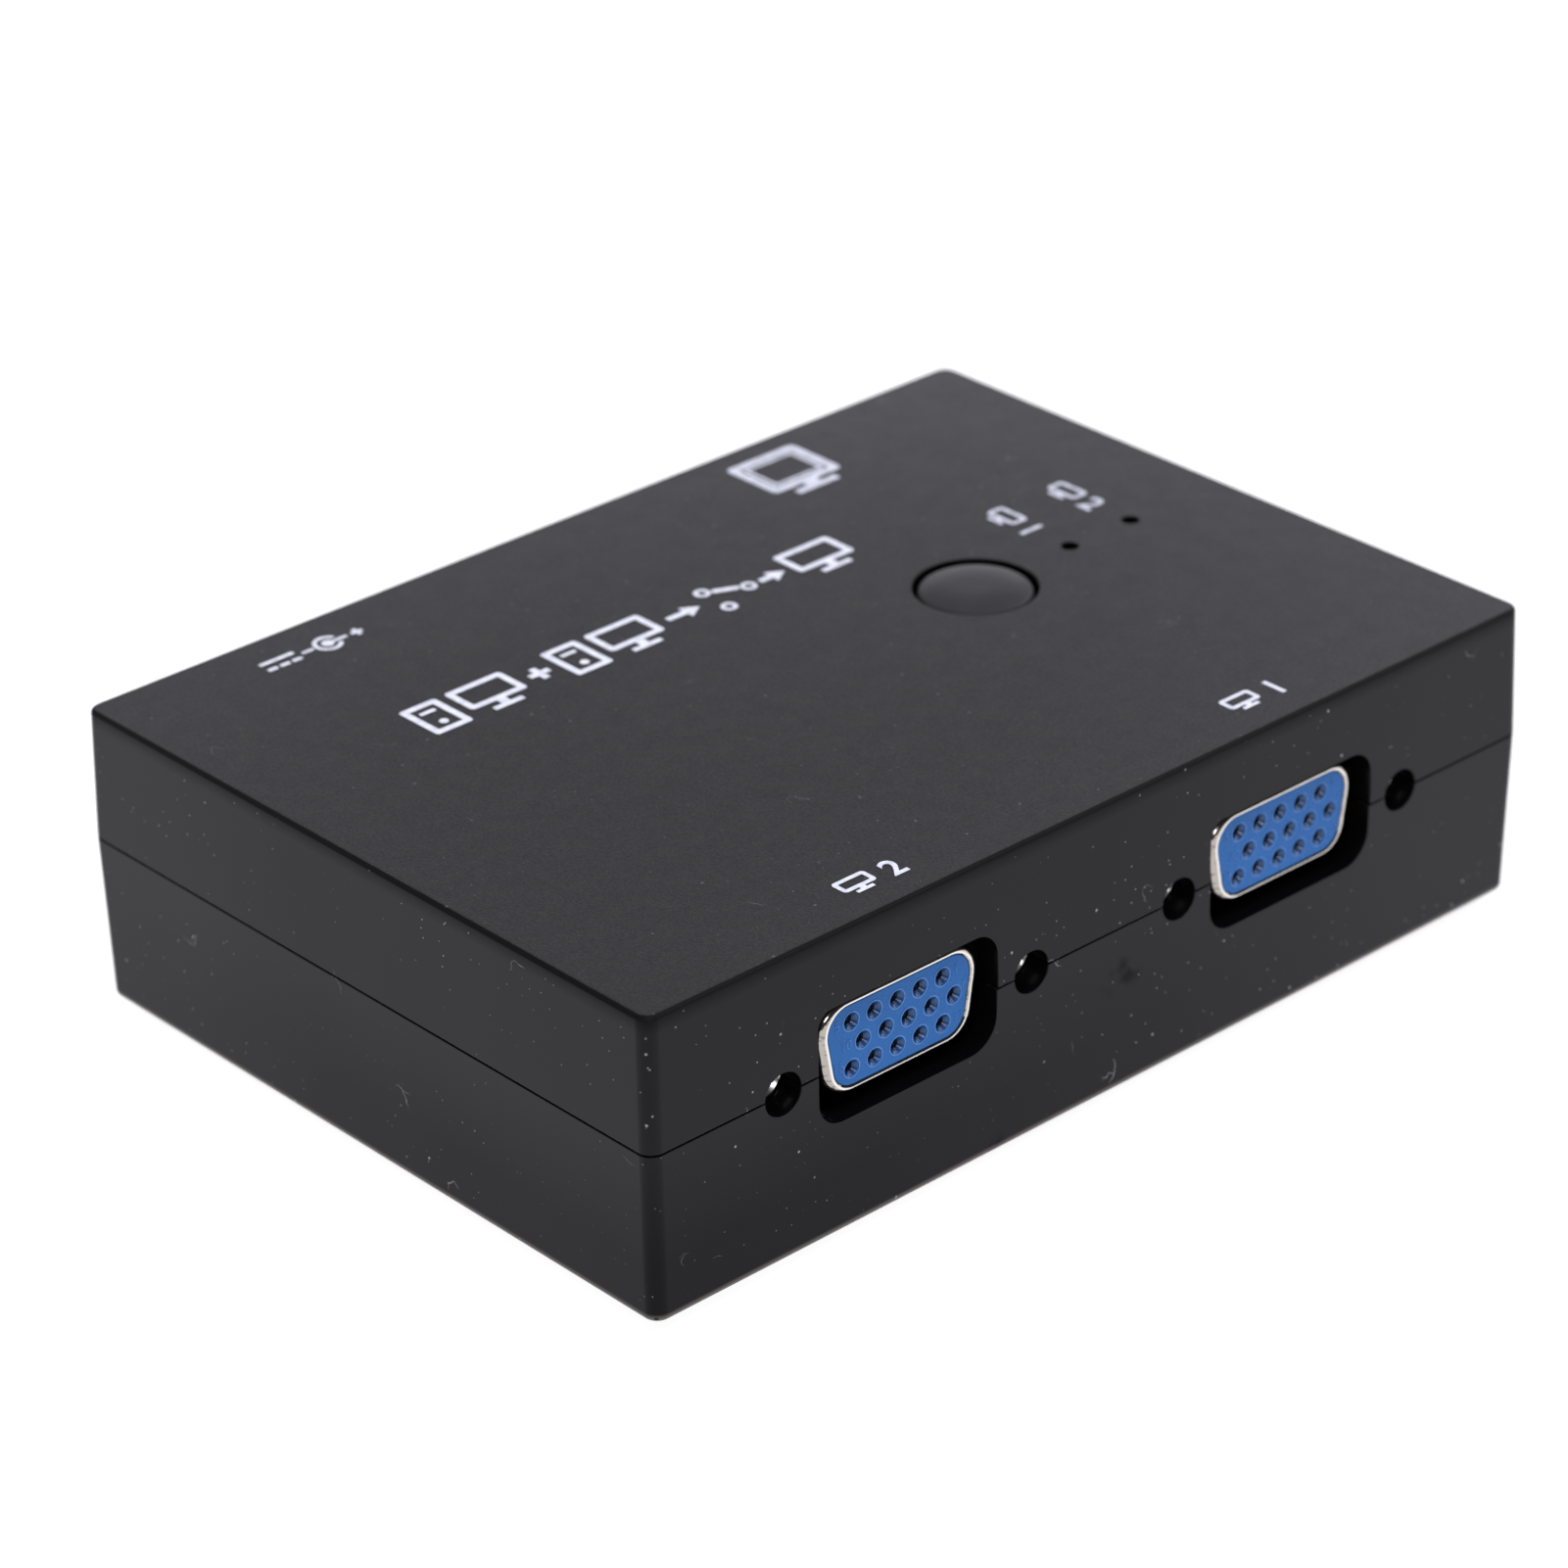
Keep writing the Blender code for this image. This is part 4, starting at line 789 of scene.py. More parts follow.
def power_cutter():
    return moved(round_cutter(POWER_HOLE_RADIUS), (POWER.x, HALF_WIDTH, POWER.z), math.pi)


def top_cutter(place, radius, through, steps, edge=OPENING_EDGE):
    """A round cutter down through the roof, flared so that the hole's top edge comes out rounded."""
    profile = [(0, OVERSHOOT), (radius + edge * 1.6, OVERSHOOT), (radius + edge * 1.15, edge * 0.3)]
    for i in range(4):
        angle = math.radians(30 * i)
        profile.append((radius + edge * (1 - math.sin(angle)), -edge * (1 - math.cos(angle))))
    profile += [(radius, -through), (0, -through)]
    return moved(turned(profile, steps), (*place, CASE_TOP))


def seam_reliefs():
    """Boxes that keep the tongue and its groove clear of the openings."""
    boxes = []
    low_z, high_z = PARTING - OVERSHOOT, TONGUE_TOP + OVERSHOOT
    inset = SIDE_WALL + OVERSHOOT
    reach = JACK_SPACING / 2 + SCREW_HOLE_RADIUS + OVERSHOOT
    for x, face_y, _ in SOCKETS.values():
        near, far = sorted((face_y, face_y - math.copysign(inset, face_y)))
        boxes.append(box((x - reach, near, low_z), (x + reach, far, high_z)))
    reach = POWER_HOLE_RADIUS + OVERSHOOT
    boxes.append(box((POWER.x - reach, HALF_WIDTH - inset, low_z), (POWER.x + reach, HALF_WIDTH, high_z)))
    return gathered(boxes)


def paint_inside(mesh):
    """The outer skin takes the case's material and everything behind it the inner one."""
    mesh.materials.append(PAINTS["case"])
    mesh.materials.append(PAINTS["inner"])
    inset = BOTTOM_TAPER + SKIN
    for face in mesh.polygons:
        x, y, z = face.center
        inside_sides = abs(x) < HALF_LENGTH - inset and abs(y) < HALF_WIDTH - inset
        face.material_index = 1 if inside_sides and CASE_BOTTOM + SKIN < z < CASE_TOP - SKIN else 0
    return mesh


def upper_shell():
    rim_z = PARTING + RIM_GAP / 2
    ceiling = CASE_TOP - ROOF
    top = (HALF_LENGTH - TOP_TAPER, HALF_WIDTH - TOP_TAPER)
    body = rounded_block(WIDE, top, rim_z, CASE_TOP, CORNER_RADIUS, RIM_EDGE_RADIUS, TOP_EDGE_RADIUS)
    low_z = rim_z - OVERSHOOT
    cavity = rounded_block(INNER, INNER, low_z, ceiling, CORNER_RADIUS / 2)
    step = TONGUE + TONGUE_CLEARANCE
    half = (INNER[0] + step, INNER[1] + step)
    groove = rounded_block(half, half, low_z, TONGUE_TOP + TONGUE_CLEARANCE, CORNER_RADIUS / 2)
    body = cut(body, cavity, cut(groove, seam_reliefs()))

    into_roof = ceiling + BITE
    guide_low = ceiling - GUIDE_LENGTH
    collar_low = ceiling - COLLAR_LENGTH
    posts = columns(CASE_SCREWS, PARTING + POST_GAP, into_roof, POST_RADIUS)
    posts += columns([BUTTON], guide_low, into_roof, GUIDE_RADIUS, 48)
    posts += columns(LAMPS, collar_low, into_roof, COLLAR_RADIUS)
    body = united(body, gathered(posts))

    bores = [top_cutter(BUTTON, BUTTON_HOLE_RADIUS, CASE_TOP - guide_low + OVERSHOOT, 96)]
    bores += columns(CASE_SCREWS, PARTING - OVERSHOOT, ceiling - OVERSHOOT, PILOT_RADIUS, 24)
    bores += columns(LAMPS, collar_low - OVERSHOOT, ceiling, COLLAR_BORE)
    through, edge = ROOF + OVERSHOOT, OPENING_EDGE / 2
    lamp_holes = [top_cutter(lamp, LAMP_HOLE_RADIUS, through, 32, edge) for lamp in LAMPS]
    return paint_inside(cut(body, gathered(bores), gathered(lamp_holes), socket_cutters(), power_cutter()))


def lower_shell():
    rim_z = PARTING - RIM_GAP / 2
    floor_z = CASE_BOTTOM + ROOF
    bottom = (HALF_LENGTH - BOTTOM_TAPER, HALF_WIDTH - BOTTOM_TAPER)
    half = (INNER[0] + TONGUE, INNER[1] + TONGUE)
    radii = (CORNER_RADIUS, BOTTOM_EDGE_RADIUS, RIM_EDGE_RADIUS)
    body = rounded_block(bottom, WIDE, CASE_BOTTOM, rim_z, *radii)
    tongue = rounded_block(half, half, floor_z, TONGUE_TOP, CORNER_RADIUS / 2)
    above_rim = rounded_block(WIDE, WIDE, rim_z, TONGUE_TOP + 2 * OVERSHOOT, CORNER_RADIUS)
    cavity = rounded_block(INNER, INNER, floor_z, TONGUE_TOP + OVERSHOOT, CORNER_RADIUS / 2)
    tongue = cut(tongue, combined(seam_reliefs(), "INTERSECT", [above_rim]))
    body = cut(united(body, tongue), cavity)

    into_floor = floor_z - BITE
    board_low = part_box("main_board")[0][2]
    bosses = columns(CASE_SCREWS, into_floor, PARTING - POST_GAP, BOSS_RADIUS)
    bosses += columns(BOARD_SCREWS, into_floor, board_low - POST_GAP, BOARD_BOSS_RADIUS)
    body = united(body, gathered(bosses))

    below = CASE_BOTTOM - OVERSHOOT
    shafts = columns(CASE_SCREWS, below, PARTING + OVERSHOOT, SCREW_SHAFT_RADIUS, 24)
    shafts += columns(BOARD_SCREWS, floor_z, floor_z + 3 * OVERSHOOT, BOARD_PILOT_RADIUS, 24)
    seats = columns(CASE_SCREWS, below, CASE_BOTTOM + COUNTERBORE_DEPTH, COUNTERBORE_RADIUS, 48)
    seats += columns(FEET, below, CASE_BOTTOM + FOOT_SEAT_DEPTH, FOOT_SEAT_RADIUS, 64)
    openings = socket_cutters(HALVES_MISMATCH)
    return paint_inside(cut(body, gathered(shafts), gathered(seats), openings, power_cutter()))


def foot():
    """A rubber foot with a soft rim and a shallow dished face, standing on z = 0."""
    low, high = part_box("rubber_foot_1")
    radius, top = (high[0] - low[0]) / 2, high[2]
    profile = [(0, top), (radius - 0.1 * MM, top), (radius, top - 0.1 * MM)]
    profile += arc((radius - FOOT_RIM, FOOT_RIM), FOOT_RIM, 0, -90, 5)
    profile += [(radius - 1.2 * MM, 0.0), (radius - 1.5 * MM, 0.12 * MM), (0, 0.15 * MM)]
    return turned(profile, 64)


def case_screw():
    """A cross-head screw with a domed head on z = 0 and ring threads down its shank."""
    low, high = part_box("case_screw_1")
    head_radius = (high[0] - low[0]) / 2
    head = head_radius * 0.62
    shank = high[2] - low[2] - head
    dome = [math.radians(angle) for angle in (20, 38, 54, 68, 80)]
    profile = [(0, head)]
    profile += [(head_radius * math.sin(a), head * math.cos(a) ** 0.8) for a in dome]
    profile += [(head_radius, 0.12 * head), (head_radius - 0.08 * MM, 0), (SHANK_RADIUS, 0)]
    z = -THREAD_PITCH
    while z > -shank + 2 * SHANK_RADIUS:
        profile += [(SHANK_RADIUS * 0.86, z + THREAD_PITCH / 2), (SHANK_RADIUS, z)]
        z -= THREAD_PITCH
    profile += [(SHANK_RADIUS * 0.8, -shank + 1.4 * SHANK_RADIUS), (SHANK_RADIUS * 0.2, -shank), (0, -shank)]
    reach, half = head_radius * 0.55, head_radius * 0.10
    arms = [box((-x, -y, head * 0.4), (x, y, 2 * head)) for x, y in ((reach, half), (half, reach))]
    return cut(turned(profile, 40), united(*arms))


def button_cap():
    """A slightly domed cap with a soft rim, its skirt, its stop flange and the stem down to the switch."""
    low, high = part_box("button_cap")
    flange_radius = (high[0] - low[0]) / 2
    flange_top = CASE_TOP - ROOF - GUIDE_LENGTH - 2 * POST_GAP
    flange_low = flange_top - FLANGE_LIP
    shoulder = BUTTON_RADIUS - BUTTON_RIM
    fall = high[2] - (BUTTON_RIM_Z + BUTTON_RIM)
    profile = [(shoulder * i / 12, high[2] - fall * (i / 12) ** DOME_POWER) for i in range(13)]
    profile += arc((shoulder, BUTTON_RIM_Z), BUTTON_RIM, 75, 0, 6)
    profile += [(BUTTON_RADIUS, flange_top), (flange_radius, flange_top), (flange_radius, flange_low)]
    profile += [(SKIRT_RADIUS, flange_low), (SKIRT_RADIUS, SKIRT_TOP), (STEM_RADIUS, SKIRT_TOP)]
    profile += [(STEM_RADIUS, low[2] + 0.15 * MM), (STEM_RADIUS - 0.15 * MM, low[2]), (0, low[2])]
    return turned(profile, 96)


def add_snap_dome():
    """The spring disc under the switch's plunger, domed as at rest; the real disc flattens as the plunger
    comes down.
    """
    (low, high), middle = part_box("switch_dome"), centre("switch_dome")
    height, radius = high[2] - low[2], (high[0] - low[0]) / 2
    rise = height - DOME_THICKNESS
    top = [(radius * i / 10, high[2] - rise * (i / 10) ** 2) for i in range(11)]
    mesh = turned(top + [(r, z - DOME_THICKNESS) for r, z in reversed(top)])
    dome = piece("snap_dome", mesh, "spring", "switch_dome", (middle.x, middle.y, 0))
    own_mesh(dome)


# ---- sockets


def socket_shell():
    """The drawn metal shell: a D tube whose front edge rolls in to a thin lip, on its flange."""
    sections = [(FLANGE_Y + BITE, tube_outline())]
    for i in range(9):
        angle = math.radians(90 * i / 8)
        inward = 1 - math.cos(angle)
        width = D_WIDTH + (FACE_WIDTH - D_WIDTH) * inward
        height = D_HEIGHT + (FACE_HEIGHT - D_HEIGHT) * inward
        radius = D_RADIUS + (FACE_RADIUS - D_RADIUS) * inward
        sections.append((D_RECESS + ROLL_DEPTH * (1 - math.sin(angle)), d_outline(width, height, radius)))
    half_x, half_z = FLANGE_HALF
    flange = box((-half_x, FLANGE_Y, -half_z), (half_x, FLANGE_Y + FLANGE_THICKNESS, half_z), 0.18 * MM)
    flare, lip, inner = lip_outline(0.10 * MM), lip_outline(), tube_outline(-SHELL_WALL)
    mouth = loft([
        (D_RECESS - OVERSHOOT, flare),
        (D_RECESS + 0.02 * MM, flare),
        (D_RECESS + 0.1 * MM, lip),
        (D_RECESS + OVERSHOOT, lip),
    ])
    bore = loft([(D_RECESS + 0.5 * MM, inner), (FLANGE_Y + OVERSHOOT, inner)])
    holes = []
    for x in (-JACK_SPACING / 2, JACK_SPACING / 2):
        ends = (x, FLANGE_Y - OVERSHOOT, 0), (x, FLANGE_Y + OVERSHOOT, 0)
        holes.append(cylinder(*ends, FLANGE_HOLE_RADIUS))
    return cut(united(loft(sections), flange), bore, mouth, gathered(holes))


def contact_places():
    """The (x, z) places of the contacts: three rows of five, the middle row half a pitch across."""
    places = []
    for row, shift in ((1, 0.0), (0, CONTACT_PITCH / 2), (-1, 0.0)):
        for column in range(-2, 3):
            places.append((OUTER_ROWS_SHIFT + shift + column * CONTACT_PITCH, row * ROW_PITCH))
    return places


def inward_lathe(profile, steps, y, x=0.0, z=0.0):
    """A turned shape laid along the socket's depth: the profile's z runs towards the outside, from y."""
    mesh = turned(profile, steps)
    mesh.transform(Matrix.Translation((x, y, z)) @ Matrix.Rotation(math.pi / 2, 4, "X"))
    return mesh


def insulator():
    """The blue moulding: a flat face with rimmed, tapered contact holes, its core and the block behind."""
    edge = 0.06 * MM
    nose = loft([
        (FACE_Y, lip_outline(-INSULATOR_PLAY - edge)),
        (FACE_Y + edge, lip_outline(-INSULATOR_PLAY)),
        (D_RECESS + 1.0 * MM, lip_outline(-INSULATOR_PLAY)),
    ])
    inside = tube_outline(-SHELL_WALL - 0.1 * MM)
    core = loft([(D_RECESS + 0.6 * MM, inside), (BLOCK_Y + BITE, inside)])
    low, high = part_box("input_1_insulator")
    near = (-BLOCK_HALF, BLOCK_Y, low[2] - SOCKET_Z)
    block = box(near, (BLOCK_HALF, high[1] + HALF_WIDTH, high[2] - SOCKET_Z), 0.25 * MM)
    root = -0.05 * MM
    rim = [(0, RIM_HEIGHT), (ENTRY_RADIUS + 0.07 * MM, RIM_HEIGHT)]
    rim += [(ENTRY_RADIUS + 0.12 * MM, 0.4 * RIM_HEIGHT), (ENTRY_RADIUS + 0.14 * MM, root), (0, root)]
    hole = [(0, OVERSHOOT), (ENTRY_RADIUS, OVERSHOOT), (ENTRY_RADIUS, -0.02 * MM)]
    hole += [(BORE_RADIUS, -ENTRY_DEPTH), (BORE_RADIUS, -BORE_DEPTH), (0, -BORE_DEPTH)]
    rims = [inward_lathe(rim, 28, FACE_Y, x, z) for x, z in contact_places()]
    holes = [inward_lathe(hole, 44, FACE_Y, x, z) for x, z in contact_places()]
    return cut(united(core, nose, block, gathered(rims)), gathered(holes))


def contacts():
    """The sprung contacts: a thin tube set back in each hole."""
    inner, outer, length = 0.20 * MM, 0.34 * MM, 3.2 * MM
    wall = [(inner, 0), (0.30 * MM, 0), (outer, -0.06 * MM), (outer, -length), (inner, -length), (inner, 0)]
    return gathered([inward_lathe(wall, 16, D_RECESS + CONTACT_DEPTH, x, z) for x, z in contact_places()])


def jack_nut():
    """A hexagonal nut with a chamfered face, ring threads in its bore, and its stud behind."""
    low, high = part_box("input_1_jack_nut_left")
    front, back, stud_end = low[1] + HALF_WIDTH, FLANGE_Y - 0.1 * MM, high[1] + HALF_WIDTH
    radius = NUT_HALF / math.cos(math.pi / 6)
    body = cylinder((0, front, 0), (0, back, 0), radius, 6)
    wide, behind = radius + 0.1 * MM, -9 * MM
    chamfer = [(0, 0), (NUT_FACE_RADIUS, 0), (wide, -NUT_CHAMFER), (wide, behind), (0, behind)]
    body = combined(body, "INTERSECT", [inward_lathe(chamfer, 48, front)])
    stud = cylinder((0, back - BITE, 0), (0, stud_end, 0), 1.3 * MM, 24)
    mouth = 1.90 * MM
    bore = [(0, OVERSHOOT), (mouth, OVERSHOOT), (mouth, 0.0), (THREAD_RADIUS, -0.42 * MM)]
    for i in range(7):
        z = -0.45 * MM - i * NUT_PITCH
        bore += [(1.28 * MM, z - NUT_PITCH * 0.35), (THREAD_RADIUS, z - NUT_PITCH * 0.85)]
    bore += [(1.25 * MM, -NUT_BORE_DEPTH), (0, -NUT_BORE_DEPTH)]
    return cut(united(body, stud), inward_lathe(bore, 32, front))


def numeral_strokes(text, x, z):
    """The strokes of a moulded contact number, centred on (x, z) on a socket's face."""
    width, gap = NUMBER_HEIGHT * 0.55, NUMBER_HEIGHT * 0.22
    start = x - (len(text) * width + (len(text) - 1) * gap) / 2
    lines = []
    for i, digit in enumerate(text):
        left = start + i * (width + gap)
        lines.append([(left + u * width, FACE_Y, z + (v - 0.5) * NUMBER_HEIGHT) for u, v in STROKES[digit]])
    return lines


def add_spline(curve, points):
    """A straight-sided spline through some (x, y, z) points."""
    spline = curve.splines.new("POLY")
    spline.points.add(len(points) - 1)
    for point, place in zip(spline.points, points):
        point.co = (*place, 1)
    return spline


def contact_numbers():
    """The raised moulded numbers beside the end contacts of each row."""
    curve = bpy.data.curves.new("strokes", "CURVE")
    curve.dimensions = "3D"
    curve.bevel_depth = NUMBER_STROKE
    curve.bevel_resolution = 2
    curve.use_fill_caps = True
    places = contact_places()
    for index, text, across, up in NUMBERS:
        x, z = places[index]
        for line in numeral_strokes(text, x + across * MM, z + up * MM):
            add_spline(curve, line)
    return baked(linked("strokes", curve))


def add_sockets():
    shell, block, pins, nut, numbers = socket_shell(), insulator(), contacts(), jack_nut(), contact_numbers()
    for name, (x, y, turn_z) in SOCKETS.items():
        place, turn = (x, y, SOCKET_Z), (0, 0, turn_z)
        piece(f"{name}_shell", shell, "shell", f"{name}_socket_shell", place, turn)
        piece(f"{name}_body", block, "blue", f"{name}_insulator", place, turn)
        piece(f"{name}_contacts", pins, "spring", None, place, turn)
        piece(f"{name}_numbers", numbers, "blue", None, place, turn)
        for side in ("left", "right"):
            node = f"{name}_jack_nut_{side}"
            piece(f"{node}_fine", nut, "nut", node, (centre(node).x, y, SOCKET_Z), turn)


# ---- power jack


def power_jack():
    """The jack's block and its round nose with a rolled mouth, in its own frame: y into the case."""
    low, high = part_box("power_jack_body")
    half = (high[0] - low[0]) / 2
    front, back = HALF_WIDTH - high[1], HALF_WIDTH - low[1]
    near = (-half, SIDE_WALL + 0.2 * MM, low[2] - POWER.z)
    block = box(near, (half, back, high[2] - POWER.z), 0.3 * MM)
    edge = 0.15 * MM
    nose = [(0, 0), (NOSE_RADIUS - edge, 0), (NOSE_RADIUS, -edge)]
    nose += [(NOSE_RADIUS, -NOSE_LENGTH), (0, -NOSE_LENGTH)]
    bore = [(0, OVERSHOOT), (PLUG_RADIUS + edge, OVERSHOOT), (PLUG_RADIUS + edge, 0.0)]
    bore += [(PLUG_RADIUS, -0.18 * MM), (PLUG_RADIUS, -PLUG_DEPTH), (0, -PLUG_DEPTH)]
    return cut(united(block, inward_lathe(nose, 64, front)), inward_lathe(bore, 64, front))


def power_pin():
    """The centre pin with a rounded tip, in the jack's own frame."""
    low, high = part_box("power_jack_pin")
    radius = (high[0] - low[0]) / 2
    length = high[1] - low[1]
    profile = [(0, 0), (0.35 * radius, -0.04 * MM), (0.7 * radius, -0.22 * MM), (0.92 * radius, -0.5 * MM)]
    profile += [(radius, -0.9 * MM), (radius, -length), (0, -length)]
    return inward_lathe(profile, 32, HALF_WIDTH - high[1])


def add_power_jack():
    place, turn = (POWER.x, HALF_WIDTH, POWER.z), (0, 0, math.pi)
    piece("power_jack_fine", power_jack(), "jack", "power_jack_body", place, turn)
    piece("power_pin_fine", power_pin(), "nut", "power_jack_pin", place, turn)


# ---- printed marks
# Every mark is a plain pictogram of our own or a bare numeral, in millimetres on the top face. A shape is a
# list of outlines: its edge, then its hole if it has one.


def rounded(x0, y0, x1, y1, radius):
    return soft_rectangle(x0, y0, x1, y1, (radius,) * 4)


def frame_mark(x0, y0, x1, y1, stroke, radius):
    inner = rounded(x0 + stroke, y0 + stroke, x1 - stroke, y1 - stroke, max(radius - stroke, 0.08))
    return [rounded(x0, y0, x1, y1, radius), inner]


def bar(x0, y0, x1, y1):
    return [rounded(x0, y0, x1, y1, min(x1 - x0, y1 - y0) * 0.2)]


def circle(x, y, radius):
    return arc((x, y), radius, 0, 345, 23)


def ring(x, y, radius, stroke):
    return [circle(x, y, radius), circle(x, y, radius - stroke)]


def line(start, end, stroke):
    """A straight stroke with round ends."""
    angle = math.degrees(math.atan2(end[1] - start[1], end[0] - start[0]))
    outline = arc(start, stroke / 2, angle + 90, angle + 270, 6)
    return [outline + arc(end, stroke / 2, angle - 90, angle + 90, 6)]


def arrow(x0, x1, y, stroke, head):
    """A straight arrow that points along +X."""
    neck, half, wing = x1 - head, stroke / 2, head * 0.62
    lower = [(x0, y - half), (neck, y - half), (neck, y - wing)]
    return [lower + [(x1, y), (neck, y + wing), (neck, y + half), (x0, y + half)]]


def plus(x, y, reach, stroke):
    half = stroke / 2
    quarter = [(reach, -half), (reach, half), (half, half)]
    outline = []
    for _ in range(4):
        outline += [(x + u, y + v) for u, v in quarter]
        quarter = [(-v, u) for u, v in quarter]
    return [outline]


def display(x0, y0, x1, y1, stroke, radius, stand):
    """A display seen from the front: a hollow frame on a neck and a foot, all one shape.

    stand is (the neck's half width, the foot's half width, the foot's height, the neck's length)."""
    outer, inner = frame_mark(x0, y0, x1, y1, stroke, radius)
    neck, foot, foot_height, neck_length = stand
    middle, foot_top = (x0 + x1) / 2, y0 - neck_length
    left = [(-neck, y0), (-neck, foot_top), (-foot, foot_top), (-foot, foot_top - foot_height)]
    hanging = left + [(-u, v) for u, v in reversed(left)]
    corner_points = len(outer) // 4
    outline = outer[:corner_points] + [(middle + u, v) for u, v in hanging] + outer[corner_points:]
    return [outline, inner]


def monitor(x, y, width, height, stroke):
    foot_height = stroke * 0.9
    stand = (stroke * 0.7, width * 0.26, foot_height, height * 0.26 - foot_height)
    return display(x, y + height * 0.26, x + width, y + height, stroke, 0.35, stand)


def tower(x, y, width, height, stroke):
    """A computer seen from the front: a frame, a drive slot and a button."""
    middle = x + width / 2
    return [
        frame_mark(x, y, x + width, y + height, stroke, 0.3),
        bar(x + stroke * 1.7, y + height * 0.66, x + width - stroke * 1.7, y + height * 0.66 + stroke * 0.7),
        [circle(middle, y + height * 0.30, stroke * 0.62)],
    ]


def changeover(x, y, width, height, stroke):
    """A changeover switch: two contacts on the left, one on the right, and the lever between."""
    dot = stroke * 1.15
    top, bottom, pole = (x + dot, y + height - dot), (x + dot, y + dot), (x + width - dot, y + height / 2)
    lever = (Vector(pole) - Vector(top)).normalized() * (dot + stroke * 0.6)
    return [
        ring(*top, dot, stroke * 0.6),
        ring(*bottom, dot, stroke * 0.6),
        ring(*pole, dot, stroke * 0.6),
        line(Vector(top) + lever, Vector(pole) - lever, stroke),
    ]


def main_marks():
    """The row of pictograms across the middle: two computers, a changeover switch and one display."""
    low, tall, stroke = 10.2, 4.9, 0.62
    middle = low + tall / 2
    marks = tower(-29.5, low, 3.6, tall, stroke) + [monitor(-25.0, low, 5.6, tall, stroke)]
    marks += [plus(-17.3, middle, 1.0, stroke)]
    marks += tower(-15.3, low, 3.6, tall, stroke) + [monitor(-10.8, low, 5.6, tall, stroke)]
    marks += [arrow(-4.0, -0.6, middle, stroke, 1.5)]
    marks += changeover(0.4, low + 0.1, 5.0, tall - 0.2, stroke)
    marks += [arrow(5.9, 8.6, middle, stroke, 1.5)]
    return marks + [monitor(9.4, low, 5.9, tall, stroke)]


def output_marks():
    """The display pictogram above the output: a broad frame with a fine inner line, on its foot."""
    outer = display(17.9, 23.9, 25.4, 30.2, 0.82, 0.5, (0.75, 2.25, 0.75, 0.65))
    return [outer, frame_mark(18.95, 24.95, 24.35, 29.15, 0.34, 0.2)]


def power_marks():
    """Direct current, then the round plug's polarity with its middle positive."""
    y, x, stroke = 28.35, -25.9, 0.36
    marks = [bar(-32.2, 28.75, -28.9, 29.17)]
    marks += [bar(-32.2 + 1.2 * i, 27.6, -31.3 + 1.2 * i, 28.02) for i in range(3)]
    marks += [line((-28.3, y), (-27.5, y), stroke), plus(-23.0, y, 0.55, stroke)]
    opening = 28
    sleeve = arc((x, y), 1.25, opening, 360 - opening, 20)
    sleeve += arc((x, y), 1.25 - stroke, 360 - opening, opening, 20)
    pin = arc((x, y), 0.52, 20, 340, 20) + [(x + 1.9, y - stroke / 2), (x + 1.9, y + stroke / 2)]
    return marks + [[sleeve], [pin]]


def numeral(text, x, y, height):
    """A bare numeral as a mesh, its lower left corner at (x, y)."""
    curve = bpy.data.curves.new("numeral", "FONT")
    curve.body = text
    curve.size = height * 1.37
    curve.offset = 0.06
    curve.extrude = INK_HALF / MM
    curve.resolution_u = 6
    return moved(baked(linked("numeral", curve)), (x, y, 0))


def ink(shapes):
    """A thin printed mesh of some shapes."""
    meshes = []
    for outlines in shapes:
        curve = bpy.data.curves.new("ink", "CURVE")
        curve.dimensions = "2D"
        curve.fill_mode = "BOTH"
        curve.extrude = INK_HALF / MM
        for outline in outlines:
            add_spline(curve, [(x, y, 0) for x, y in outline]).use_cyclic_u = True
        meshes.append(baked(linked("ink", curve)))
    return gathered(meshes)


def printed(name, meshes, kind, x=0.0, y=0.0, turn_z=0.0):
    """A mark laid on the top face. Its meshes are in millimetres."""
    mesh = gathered(meshes)
    mesh.transform(Matrix.Scale(MM, 4))
    shape = bmesh.new()
    shape.from_mesh(mesh)
    bmesh.ops.remove_doubles(shape, verts=shape.verts, dist=SAME_PLACE)
    shape.to_mesh(mesh)
    shape.free()
    item = piece(name, mesh, kind, None, (x, y, CASE_TOP + INK_HALF), (0, 0, turn_z))
    item.modifiers.clear()


def add_marks():
    printed("mark_selector_row", [ink(main_marks())], "ink")
    printed("mark_output", [ink(output_marks())], "ink_grey")
    printed("mark_power", [ink(power_marks())], "ink")
    for text, y in (("2", -30.1 * MM), ("1", -29.9 * MM)):
        label = [ink([monitor(-2.8, 0.0, 3.2, 2.3, 0.40)]), numeral(text, 1.5, 0.0, 2.3)]
        printed(f"mark_input_{text}", label, "ink", SOCKETS[f"input_{text}"][0], y)
    for text, (x, _) in zip("12", LAMPS):
        label = [ink([monitor(0.0, 0.0, 3.2, 2.4, 0.40)]), numeral(text, 4.0, 0.0, 2.4)]
        printed(f"mark_lamp_{text}", label, "ink_grey", x - 1.2 * MM, 9.0 * MM, -math.pi / 2)


# ---- stage


def softbox(name, location, target, width, height, power):
    light = bpy.data.lights.new(name, "AREA")
    light.shape = "RECTANGLE"
    light.size = width
    light.size_y = height
    light.energy = power
    light.color = COOL_WHITE
    item = linked(name, light)
    item.location = location
    item.visible_camera = False
    item.rotation_mode = "QUATERNION"
    item.rotation_quaternion = (Vector(target) - item.location).to_track_quat("-Z", "Y")


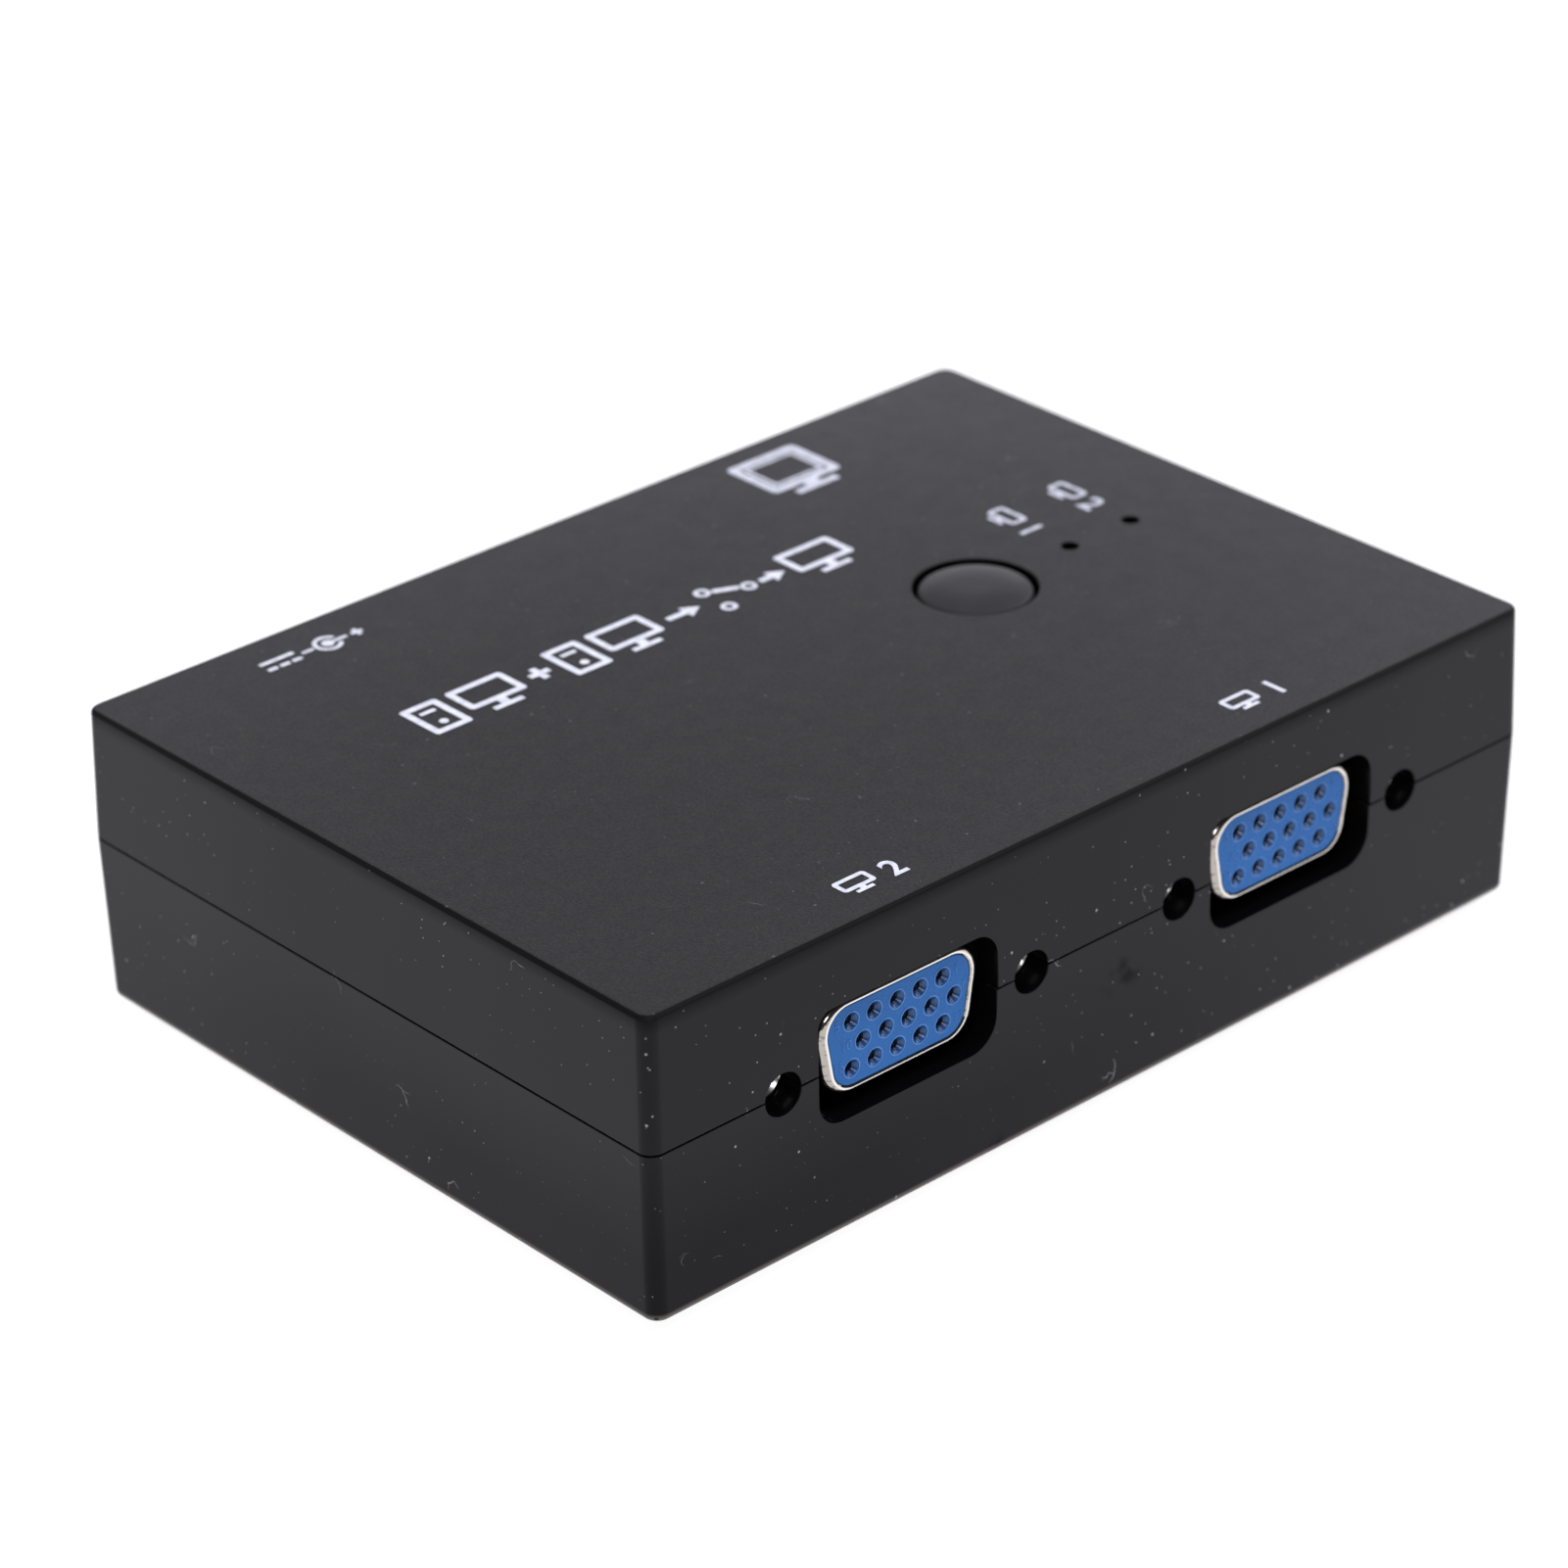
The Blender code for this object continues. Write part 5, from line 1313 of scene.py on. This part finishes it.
def add_floor():
    """The plain pale floor, which glows so that the box stands on white."""
    paint = Paint("pale_floor")
    colour = paint.blend(paint.noise(3.0, 2.0), (0.245, 0.245, 0.247), (0.255, 0.255, 0.257))
    paint.finish(colour=colour, roughness=0.9, specular=0.0, emission=colour, glow=FLOOR_GLOW)
    mesh = bpy.data.meshes.new("floor")
    corners = [(x * FLOOR_HALF, y * FLOOR_HALF, 0) for x, y in ((-1, -1), (1, -1), (1, 1), (-1, 1))]
    mesh.from_pydata(corners, [], [(0, 1, 2, 3)])
    mesh.materials.append(paint.material)
    linked("floor", mesh)


def add_sky():
    """A plain dim surround."""
    world = bpy.data.worlds.new("studio")
    world.use_nodes = True
    background = world.node_tree.nodes["Background"]
    background.inputs["Color"].default_value = (*COOL_WHITE, 1.0)
    background.inputs["Strength"].default_value = SKY_STRENGTH
    bpy.context.scene.world = world


def add_lights():
    softbox("overhead", (0.0, -0.10, 0.9), (0, 0, 0), 0.8, 0.8, 7.0)
    softbox("front", (-0.27, -0.45, 0.29), (0, 0, 0.015), 0.12, 0.12, 0.5)
    softbox("glint", (0.33, -0.38, 0.51), (0, -0.03, 0.015), 0.10, 0.10, 0.22)
    softbox("key", (-0.21, -0.22, 0.86), (0, 0, 0), 0.22, 0.22, 0.8)
    softbox("low_back", (0.20, 0.22, 0.075), (0, 0, 0.02), 0.5, 0.08, 0.40)
    softbox("left_back", (-0.10, 0.20, 0.10), (0, 0, 0.02), 0.16, 0.10, 0.27)
    softbox("right_side", (0.35, -0.05, 0.25), (0, 0, 0.02), 0.3, 0.3, 1.1)


def add_camera():
    across, up = CAMERA_AZIMUTH, CAMERA_ELEVATION
    back = Vector((math.sin(across) * math.cos(up), -math.cos(across) * math.cos(up), math.sin(up)))
    data = bpy.data.cameras.new("camera")
    data.sensor_width = 36.0
    data.lens = CAMERA_LENS
    data.clip_start = 0.01
    camera = linked("camera", data)
    camera.location = Vector(CAMERA_AIM) + Vector((0, 0, CASE_BOTTOM)) + back * CAMERA_DISTANCE
    camera.rotation_mode = "QUATERNION"
    camera.rotation_quaternion = back.to_track_quat("Z", "Y") @ Quaternion((0, 0, 1), CAMERA_ROLL)
    focus = linked("focus", None)
    focus.location = (SOCKETS["input_2"][0], -HALF_WIDTH, CASE_TOP)
    data.dof.use_dof = True
    data.dof.focus_object = focus
    data.dof.aperture_fstop = CAMERA_FSTOP
    bpy.context.scene.camera = camera


# ---- assembly


def add_case():
    piece("upper_case", upper_shell(), "case", "upper_shell")
    piece("lower_case", lower_shell(), "case", "lower_shell")
    rubber_foot, fine_screw = foot(), case_screw()
    head_z = CASE_BOTTOM + COUNTERBORE_DEPTH - POST_GAP
    for i, (foot_place, screw_place) in enumerate(zip(FEET, CASE_SCREWS), 1):
        piece(f"foot_{i}", rubber_foot, "rubber", f"rubber_foot_{i}", (*foot_place, 0))
        node = f"case_screw_{i}"
        piece(f"{node}_fine", fine_screw, "steel", node, (*screw_place, head_z), (math.pi, 0, 0))


def paint_frame():
    """The kept CAD nodes, all inside the case, take their finished materials."""
    kept = {
        "steel": ["input_1_bracket", "input_2_bracket", "output_bracket", "switch_cover"],
        "lamp": ["lamp_1", "lamp_2"],
        "board": ["main_board"],
        "chip": ["mux_chip_1", "mux_chip_2", "control_chip", "regulator"],
        "sleeve": ["capacitor_1", "capacitor_2"],
        "spring": ["power_jack_spring"],
    }
    kept["chip"] += ["switch_housing", "switch_plunger"]
    kept["steel"] += [f"board_screw_{i}" for i in range(1, 5)]
    kept["steel"] += [f"lamp_{i}_{lead}" for i in (1, 2) for lead in ("anode", "cathode")]
    for kind, names in kept.items():
        for name in names:
            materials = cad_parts[name].data.materials
            materials.clear()
            materials.append(PAINTS[kind])


add_case()
piece("button", button_cap(), "button", "button_cap", (*BUTTON, 0), body="button")
add_snap_dome()
add_sockets()
add_power_jack()
add_marks()
paint_frame()
add_floor()
add_sky()
add_lights()
add_camera()
bpy.context.scene.view_settings.view_transform = "Standard"
